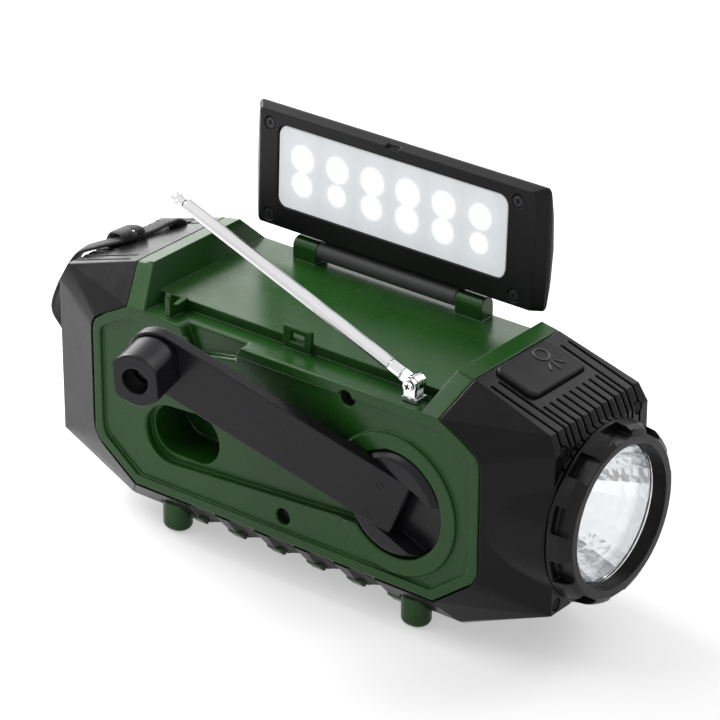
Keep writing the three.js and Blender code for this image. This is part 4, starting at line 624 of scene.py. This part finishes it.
for name, obj in nodes.items():
    if not obj.data.materials or obj.data.materials[0] is None:
        raise SystemExit("no finish for " + name)


# Rounded edges: a copy of a node with each sharp edge softened as far as its neighbours leave room
ROOM_SHARE = 0.42
LEAST_SPREAD, LEAST_SINE = 1e-3, 0.05


def room(e, sharp, width):
    """The widest rounding that the edge e can have without meeting what the edges beside it leave."""
    best = width
    for v in e.verts:
        a = (e.other_vert(v).co - v.co).normalized()
        for f in v.link_edges:
            if f is e or not set(f.link_faces) & set(e.link_faces):
                continue
            turn_angle = a.angle((f.other_vert(v).co - v.co).normalized(), math.pi)
            length = f.calc_length()
            if f in sharp:
                spread = math.tan((math.pi - turn_angle) / 2)
                limit = ROOM_SHARE * min(length, e.calc_length()) / max(spread, LEAST_SPREAD)
            else:
                far = any(g in sharp for g in f.other_vert(v).link_edges)
                limit = ROOM_SHARE * (1 if far else 2) * length * max(math.sin(turn_angle), LEAST_SINE)
            best = min(best, limit)
    return best


LEAST_AREA = 1e-9
AGAINST = -0.1      # cosine between a triangle and the solid under it, below which it is folded over
DIGITS = 4          # corners less than 0.1 mm apart count as one


def folded(mesh, tree):
    """Corners of the triangles that face against the solid under them."""
    mesh.calc_loop_triangles()
    points = mesh.vertices
    bad = set()
    for t in mesh.loop_triangles:
        if t.area < LEAST_AREA:
            continue
        a, b, c = (points[i].co for i in t.vertices)
        middle = (a + b + c) / 3
        normal = (b - a).cross(c - a).normalized()
        near = tree.find_nearest(middle)
        if normal.dot(near[1]) < AGAINST:
            bad |= {tuple(round(x, DIGITS) for x in p) for p in (a, b, c)}
    return [Vector(p) for p in sorted(bad)]


FULL_AREA = 2e-5    # a face of this area or more weighs alike in a corner's normal


def shade_edges(mesh, angle):
    """Flat faces stay flat, curved ones run on, and each rounded edge turns between its two faces."""
    limit = math.cos(math.radians(angle))
    plain, round_sum = {}, {}
    for f in mesh.polygons:
        for v in f.vertices:
            if f.material_index == 0:
                plain.setdefault(v, []).append((f.normal.copy(), min(f.area, FULL_AREA) + 1e-9))
            else:
                round_sum[v] = round_sum.get(v, Vector()) + f.normal * (f.area + 1e-12)
    normals = []
    for f in mesh.polygons:
        for v in f.vertices:
            near = plain.get(v)
            if near is None:
                normals.append(round_sum[v].normalized())
                continue
            own = f.normal
            if f.material_index:
                own = max(near, key=lambda row: row[0].dot(f.normal))[0]
            total = Vector()
            for normal, area in near:
                if normal.dot(own) >= limit:
                    total += normal * area
            normals.append(total.normalized() if total.length > 0 else own)
    mesh.normals_split_custom_set(normals)


MERGE_REACH, THIN_REACH = 2e-6, 5e-6
FLAT_ANGLE = math.radians(0.5)
THREE_STEPS_FROM = 0.0007
ATTEMPTS, GENTLE_ATTEMPTS, GENTLE_SHARE = 6, 2, 0.4
FOLD_REACH = 1.2


def refined(node, width, angle):
    """Rounds the node's edges that turn by more than angle. Edges that fold the surface get less, then nothing."""
    source = nodes[node]
    bm = bmesh.new()
    bm.from_mesh(source.data)
    bmesh.ops.remove_doubles(bm, verts=bm.verts, dist=MERGE_REACH)
    bmesh.ops.dissolve_limit(bm, angle_limit=FLAT_ANGLE, verts=bm.verts, edges=bm.edges)
    bmesh.ops.dissolve_degenerate(bm, dist=THIN_REACH, edges=bm.edges)
    bm.normal_update()
    tree = BVHTree.FromBMesh(bm)
    layer = bm.edges.layers.float.new("bevel_weight_edge")
    sharp = [e for e in bm.edges if len(e.link_faces) == 2 and e.calc_face_angle(0) > math.radians(angle)]
    lines = set(sharp)
    for e in sharp:
        e[layer] = room(e, lines, width) / width
    for f in bm.faces:
        f.smooth = True
    bm.edges.index_update()
    spans = [(e.index, e.verts[0].co.copy(), e.verts[1].co.copy()) for e in sharp]
    base = bpy.data.meshes.new(node + "_base")
    bm.to_mesh(base)
    bm.free()
    for _ in range(2):      # the second slot marks the rounded faces for shade_edges
        base.materials.append(source.data.materials[0])
    obj = add_object(node + "_moulded", base)
    bevel = obj.modifiers.new("edges", "BEVEL")
    bevel.limit_method = "WEIGHT"
    bevel.width = width
    bevel.segments = 2 if width < THREE_STEPS_FROM else 3
    bevel.use_clamp_overlap = False
    bevel.material = 1
    for attempt in range(ATTEMPTS):
        bpy.context.view_layer.update()
        done = bpy.data.meshes.new_from_object(obj.evaluated_get(bpy.context.evaluated_depsgraph_get()))
        bad = folded(done, tree)
        if not bad:
            break
        weights = base.attributes["bevel_weight_edge"].data
        for index, start, end in spans:
            span = end - start
            for point in bad:
                share = min(1, max(0, (point - start).dot(span) / span.length_squared))
                if (start + span * share - point).length < width * FOLD_REACH:
                    weights[index].value *= GENTLE_SHARE if attempt < GENTLE_ATTEMPTS else 0
                    break
        base.update_tag()
    obj.modifiers.clear()
    obj.data = done
    done.name = node + "_moulded"
    shade_edges(done, angle)
    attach(obj, source["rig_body"])
    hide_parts(node)


# The rounding's width in metres, and the least angle in degrees of an edge that gets it
REFINED = {
    "left_end_cap": (0.0014, 11), "right_end_cap": (0.0014, 12), "main_case": (0.0008, 11),
    "bottom_tray": (0.001, 11), "rear_cover": (0.0006, 14), "lamp_frame": (0.0006, 24),
    "lamp_cover": (0.0006, 11), "crank_arm": (0.0007, 24), "crank_knob": (0.0008, 24), "crank_hub": (0.0009, 24),
    "torch_button": (0.001, 20), "torch_bezel": (0.0008, 19), "grip_strip": (0.0006, 24),
    "foot_front_left": (0.0008, 24), "foot_front_right": (0.0008, 24), "foot_rear_left": (0.0008, 24),
    "foot_rear_right": (0.0008, 24), "tuning_knob": (0.0005, 24), "volume_knob": (0.0005, 24),
    "band_switch": (0.0003, 24), "socket_flap": (0.0005, 24),
}
for name, (width, angle) in REFINED.items():
    refined(name, width, angle)


# Small marks that lie on a piece: found by a ray on the piece's own surface.
# A line's width, its height over the surface and the height of its lower side are in millimetres.
DOWN, FRONT, RIGHT = Vector((0, 0, -1)), Vector((0, -1, 0)), Vector((1, 0, 0))
ICON_LINE, MARK_LINE, SEAM_LINE = (0.75, 0.3, -0.1), (0.32, 0.14, -0.05), (0.3, 0.06, -0.05)
CIRCLE_STEPS, ICON_RAY_STEPS, SEAM_STEPS = 24, 3, 8


def on_piece(node, start, direction):
    """A function that gives the place and normal where a ray from start, shifted, meets the node."""
    mesh = nodes[node].data
    tree = BVHTree.FromPolygons([v.co for v in mesh.vertices], [tuple(p.vertices) for p in mesh.polygons])
    return lambda shift=Vector(): tree.ray_cast(start + shift, direction)[:2]


def circle():
    turns = [2 * math.pi * i / CIRCLE_STEPS for i in range(CIRCLE_STEPS + 1)]
    return [(math.cos(a), math.sin(a)) for a in turns]


def between(start, end, steps):
    (x, y), (x_end, y_end) = start, end
    return [(x + (x_end - x) * i / steps, y + (y_end - y) * i / steps) for i in range(steps + 1)]


SHOULDER, BLUNT_END = 0.55, 0.55


def stroke(bm, path, line):
    """A flat band with rounded ends along points, each with the surface's normal."""
    width, height, lift = (size * MM for size in line)
    profile = ((-0.5, lift), (-0.5, height * SHOULDER), (-0.3, height), (0.3, height), (0.5, height * SHOULDER),
               (0.5, lift))
    rows = []
    for i, (place, normal) in enumerate(path):
        before, after = path[max(i - 1, 0)][0], path[min(i + 1, len(path) - 1)][0]
        along = (after - before).normalized()
        side = normal.cross(along).normalized()
        is_end = i in (0, len(path) - 1) and (path[0][0] - path[-1][0]).length > width
        taper = BLUNT_END if is_end else 1
        rows.append([bm.verts.new(place + side * across * width * taper + normal * up) for across, up in profile])
    for a, b in zip(rows, rows[1:]):
        for k in range(5):
            bm.faces.new((a[k], a[k + 1], b[k + 1], b[k]))
        bm.faces.new((a[5], a[0], b[0], b[5]))
    bm.faces.new(rows[0][::-1])
    bm.faces.new(rows[-1])


def flat_mark(name, bm, material, body):
    bmesh.ops.recalc_face_normals(bm, faces=bm.faces)
    new_object(name, bm, material, body, smooth=False)


# The raised lamp on the torch's button: a ring and three rays. Places are seen from above.
LAMP_X, LAMP_Y, LAMP_RADIUS = 70.1, 4.5, 2.4
RAY_START, RAY_NARROW = 73.9, 0.42
RAY_ENDS = ((76.5, 7.9), (77.4, 4.3), (76.3, 1.2))
OVER_BUTTON, OVER_DECK = at(0, 0, 130), at(0, 0, 90)


def button_icon():
    drop = on_piece("torch_button", OVER_BUTTON, DOWN)
    bm = bmesh.new()
    lines = [[(LAMP_X + LAMP_RADIUS * c, LAMP_Y + LAMP_RADIUS * s) for c, s in circle()]]
    lines += [between((RAY_START, LAMP_Y + (y - LAMP_Y) * RAY_NARROW), (x, y), ICON_RAY_STEPS)
              for x, y in RAY_ENDS]
    for line in lines:
        path = [drop(Vector((x, y, 0)) * MM) for x, y in line]
        stroke(bm, path, ICON_LINE)
    flat_mark("torch_button_icon", bm, icon_rubber, "button")


icon_rubber = plastic("icon_rubber", linear(34, 34, 37), 0.42, grain=2600, depth=0.00002, specular=0.4)
button_icon()
# Near black for the crosses on the screws' heads: a painted shade where their drives are hollow
painted_drive_shade = plastic("painted_drive_shade", linear(5, 5, 6), 0.6, specular=0.15)

# A cross's turn, its arms' half width and tip as shares, its floor's size, and its rise and depth in millimetres
CROSS_TURN = 0.4
CROSS_ARM, CROSS_TIP, CROSS_FLOOR = 0.3, 0.8, 0.9
CROSS_RISE, CROSS_DEPTH = 0.03, 0.15
CLEAR_OF_SCREW, CLEAR_OF_ARM = 0.05, 0.02   # where a ray starts, in metres from the piece


def cross_recess(name, screw, normal, radius):
    """The cross of a screw's drive as a near black solid, a painted shade where the drive is hollow, with its floor
    just under the head's face.
    """
    low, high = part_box(screw)
    normal = normal.normalized()
    face = on_piece(screw, (low + high) / 2 + normal * CLEAR_OF_SCREW, -normal)()[0]
    side = normal.orthogonal().normalized()
    other = normal.cross(side)
    bm = bmesh.new()
    arm = radius * CROSS_ARM
    outline = []
    for k in range(4):
        a = math.pi / 2 * k + CROSS_TURN
        u = side * math.cos(a) + other * math.sin(a)
        v = normal.cross(u)
        outline += [u * arm - v * arm, u * radius - v * arm * CROSS_TIP, u * radius + v * arm * CROSS_TIP]
    top = [bm.verts.new(face + p + normal * CROSS_RISE * MM) for p in outline]
    base = [bm.verts.new(face + p * CROSS_FLOOR - normal * CROSS_DEPTH * MM) for p in outline]
    bm.faces.new(top)
    bm.faces.new(base[::-1])
    for i in range(len(top)):
        j = (i + 1) % len(top)
        bm.faces.new((top[i], base[i], base[j], top[j]))
    flat_mark(name, bm, painted_drive_shade, nodes[screw]["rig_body"])


LID_OUT = Vector((0, -math.cos(LID_TILT), math.sin(LID_TILT)))
CROSSES = [("lamp_screw_cross_%d" % i, "lamp_screw_%d" % i, LID_OUT, 0.95) for i in range(1, 5)]
CROSSES += [(screw + "_cross", screw, out, radius) for screw, out, radius in (
    ("antenna_screw", FRONT, 1.0), ("face_screw_1", FRONT, 1.1), ("face_screw_2", FRONT, 1.1),
    ("end_screw_right_front", RIGHT, 1.1), ("end_screw_right_rear", RIGHT, 1.1), ("end_screw_right_low", RIGHT, 1.1))]
for name, screw, out, radius in CROSSES:
    cross_recess(name, screw, out, radius * MM)


# Ejector marks on the crank arm and the moulding seam across the deck
ARM_OUT = Vector((0.207, -0.974, -0.088)).normalized()
ARM_MARKS, MARK_RADIUS = ((40.3, -33.4, 48.2), (34.9, -33.6, 37.2)), 1.1
DECK_SEAMS = (((40.4, 1.4), (39.1, 20.6)), ((40.4, 1.4), (54.5, 1.4)))


def arm_marks():
    bm = bmesh.new()
    side = ARM_OUT.orthogonal().normalized()
    other = ARM_OUT.cross(side)
    for mark in ARM_MARKS:
        face = on_piece("crank_arm", at(*mark) + ARM_OUT * CLEAR_OF_ARM, -ARM_OUT)()[0]
        path = [(face + (side * c + other * s) * MARK_RADIUS * MM, ARM_OUT) for c, s in circle()]
        stroke(bm, path, MARK_LINE)
    flat_mark("crank_arm_marks", bm, charcoal, nodes["crank_arm"]["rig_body"])


def deck_seam():
    drop = on_piece("main_case", OVER_DECK, DOWN)
    bm = bmesh.new()
    for start, end in DECK_SEAMS:
        path = [drop(Vector((x, y, 0)) * MM) for x, y in between(start, end, SEAM_STEPS)]
        stroke(bm, path, SEAM_LINE)
    flat_mark("deck_seam", bm, green, "case")


arm_marks()
deck_seam()


# Scale printed on the dial's window: ticks and frequencies
TICKS, TICK_PITCH, TICKS_PER_NUMBER = 24, 1.8 * MM, 4
TICK_Z, TICK_WIDTH, TALL_TICK, SHORT_TICK = 0.4, 0.22, 1.6, 0.9
LINE_Z, LINE_HEIGHT = -0.6, 0.18
INK_GAP, INK_THICKNESS = 0.00003, 0.03
NUMBER_Z, NUMBER_SIZE, NUMBER_THICKNESS, NUMBER_OUT = 2.2, 2.1, 0.015, 0.02
FREQUENCIES = (88, 92, 96, 100, 104, 108, 112)


def dial_scale():
    low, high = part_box("dial_window")
    centre = Vector(((low.x + high.x) / 2, high.y + INK_GAP, (low.z + high.z) / 2))
    ink = plastic("dial_ink", linear(205, 205, 198), 0.5, mottle=0.03)
    bm = bmesh.new()

    def bar(x, z, width, height):
        corners = [centre + Vector((a * width / 2 + x, 0, b * height / 2 + z))
                   for a, b in ((-1, -1), (1, -1), (1, 1), (-1, 1))]
        front = [bm.verts.new(c + Vector((0, INK_THICKNESS * MM, 0))) for c in corners]
        back = [bm.verts.new(c) for c in corners]
        bm.faces.new(front)
        bm.faces.new(back[::-1])
        for i in range(4):
            bm.faces.new((front[i], back[i], back[(i + 1) % 4], front[(i + 1) % 4]))

    for i in range(TICKS + 1):
        height = SHORT_TICK if i % TICKS_PER_NUMBER else TALL_TICK
        bar((TICKS / 2 - i) * TICK_PITCH, TICK_Z * MM, TICK_WIDTH * MM, height * MM)
    bar(0, LINE_Z * MM, TICKS * TICK_PITCH, LINE_HEIGHT * MM)
    flat_mark("dial_ticks", bm, ink, "case")
    for k, value in enumerate(FREQUENCIES):
        text = bpy.data.curves.new("dial_number_%d" % value, "FONT")
        text.body = str(value)
        text.size = NUMBER_SIZE * MM
        text.extrude = NUMBER_THICKNESS * MM
        text.align_x = "CENTER"
        text.align_y = "CENTER"
        text.materials.append(ink)
        number = add_object("dial_number_%d" % value, text)
        x = (TICKS / 2 - TICKS_PER_NUMBER * k) * TICK_PITCH
        number.matrix_world = (Matrix.Translation(centre + Vector((x, NUMBER_OUT * MM, NUMBER_Z * MM)))
                               @ Matrix.Rotation(math.pi, 4, "Z") @ Matrix.Rotation(math.pi / 2, 4, "X"))
        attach(number, "case")


dial_scale()

# Floor and world: white where they are seen or mirrored, softer as light
FLOOR_GLOW = 0.45
SKY_LIGHT = 0.45


def floor_material():
    n = Nodes("floor")
    matt = n.new("ShaderNodeBsdfDiffuse")
    cloud = n.spread(n.noise(scale=3, detail=3))
    n.link(n.mix(cloud, (0.7, 0.7, 0.7, 1), (0.72, 0.72, 0.72, 1)), matt.inputs["Color"])
    lift = n.new("ShaderNodeEmission")
    n.link(n.math("MULTIPLY", seen_directly(n.tree), FLOOR_GLOW), lift.inputs["Strength"])
    both = n.new("ShaderNodeAddShader")
    n.link(matt.outputs[0], both.inputs[0])
    n.link(lift.outputs[0], both.inputs[1])
    return n.surface(both.outputs[0])


bm = bmesh.new()
bmesh.ops.create_grid(bm, x_segments=4, y_segments=4, size=6)
floor = new_object("floor", bm, floor_material(), None)

world = bpy.data.worlds.new("world")
bpy.context.scene.world = world
world.use_nodes = True
sky = world.node_tree
sky.nodes.clear()
background = sky.nodes.new("ShaderNodeBackground")
background.inputs["Color"].default_value = (1, 1, 1, 1)
strength = add_math(sky, "ADD", add_math(sky, "MULTIPLY", seen_directly(sky), 1 - SKY_LIGHT), SKY_LIGHT)
sky.links.new(strength, background.inputs["Strength"])
sky.links.new(background.outputs[0], sky.nodes.new("ShaderNodeOutputWorld").inputs["Surface"])

# Each lamp's place, the point that it faces, its width and height, and its power in watts
LAMPS = {
    "key": ((-0.7, -0.5, 1.2), (0, 0, 0.05), (0.8, 0.6), 5),
    "rear": ((0.3, 1.1, 0.9), (0, 0, 0.06), (1.0, 0.5), 6),
    "left_rear_box": ((-0.95, 0.8, 0.4), (0, 0, 0.06), (1.1, 0.75), 6),
    "left_floor": ((-0.75, 0.1, 0.5), (-0.32, 0, 0), (0.4, 0.4), 8),
}
for name, (place, target, size, power) in LAMPS.items():
    light = bpy.data.lights.new(name, "AREA")
    light.shape = "RECTANGLE"
    light.size, light.size_y = size
    light.energy = power
    lamp = add_object(name, light)
    lamp.location = place
    lamp.rotation_mode = "QUATERNION"
    lamp.rotation_quaternion = (Vector(target) - Vector(place)).to_track_quat("-Z", "Y")

bpy.context.scene.view_settings.view_transform = "Standard"
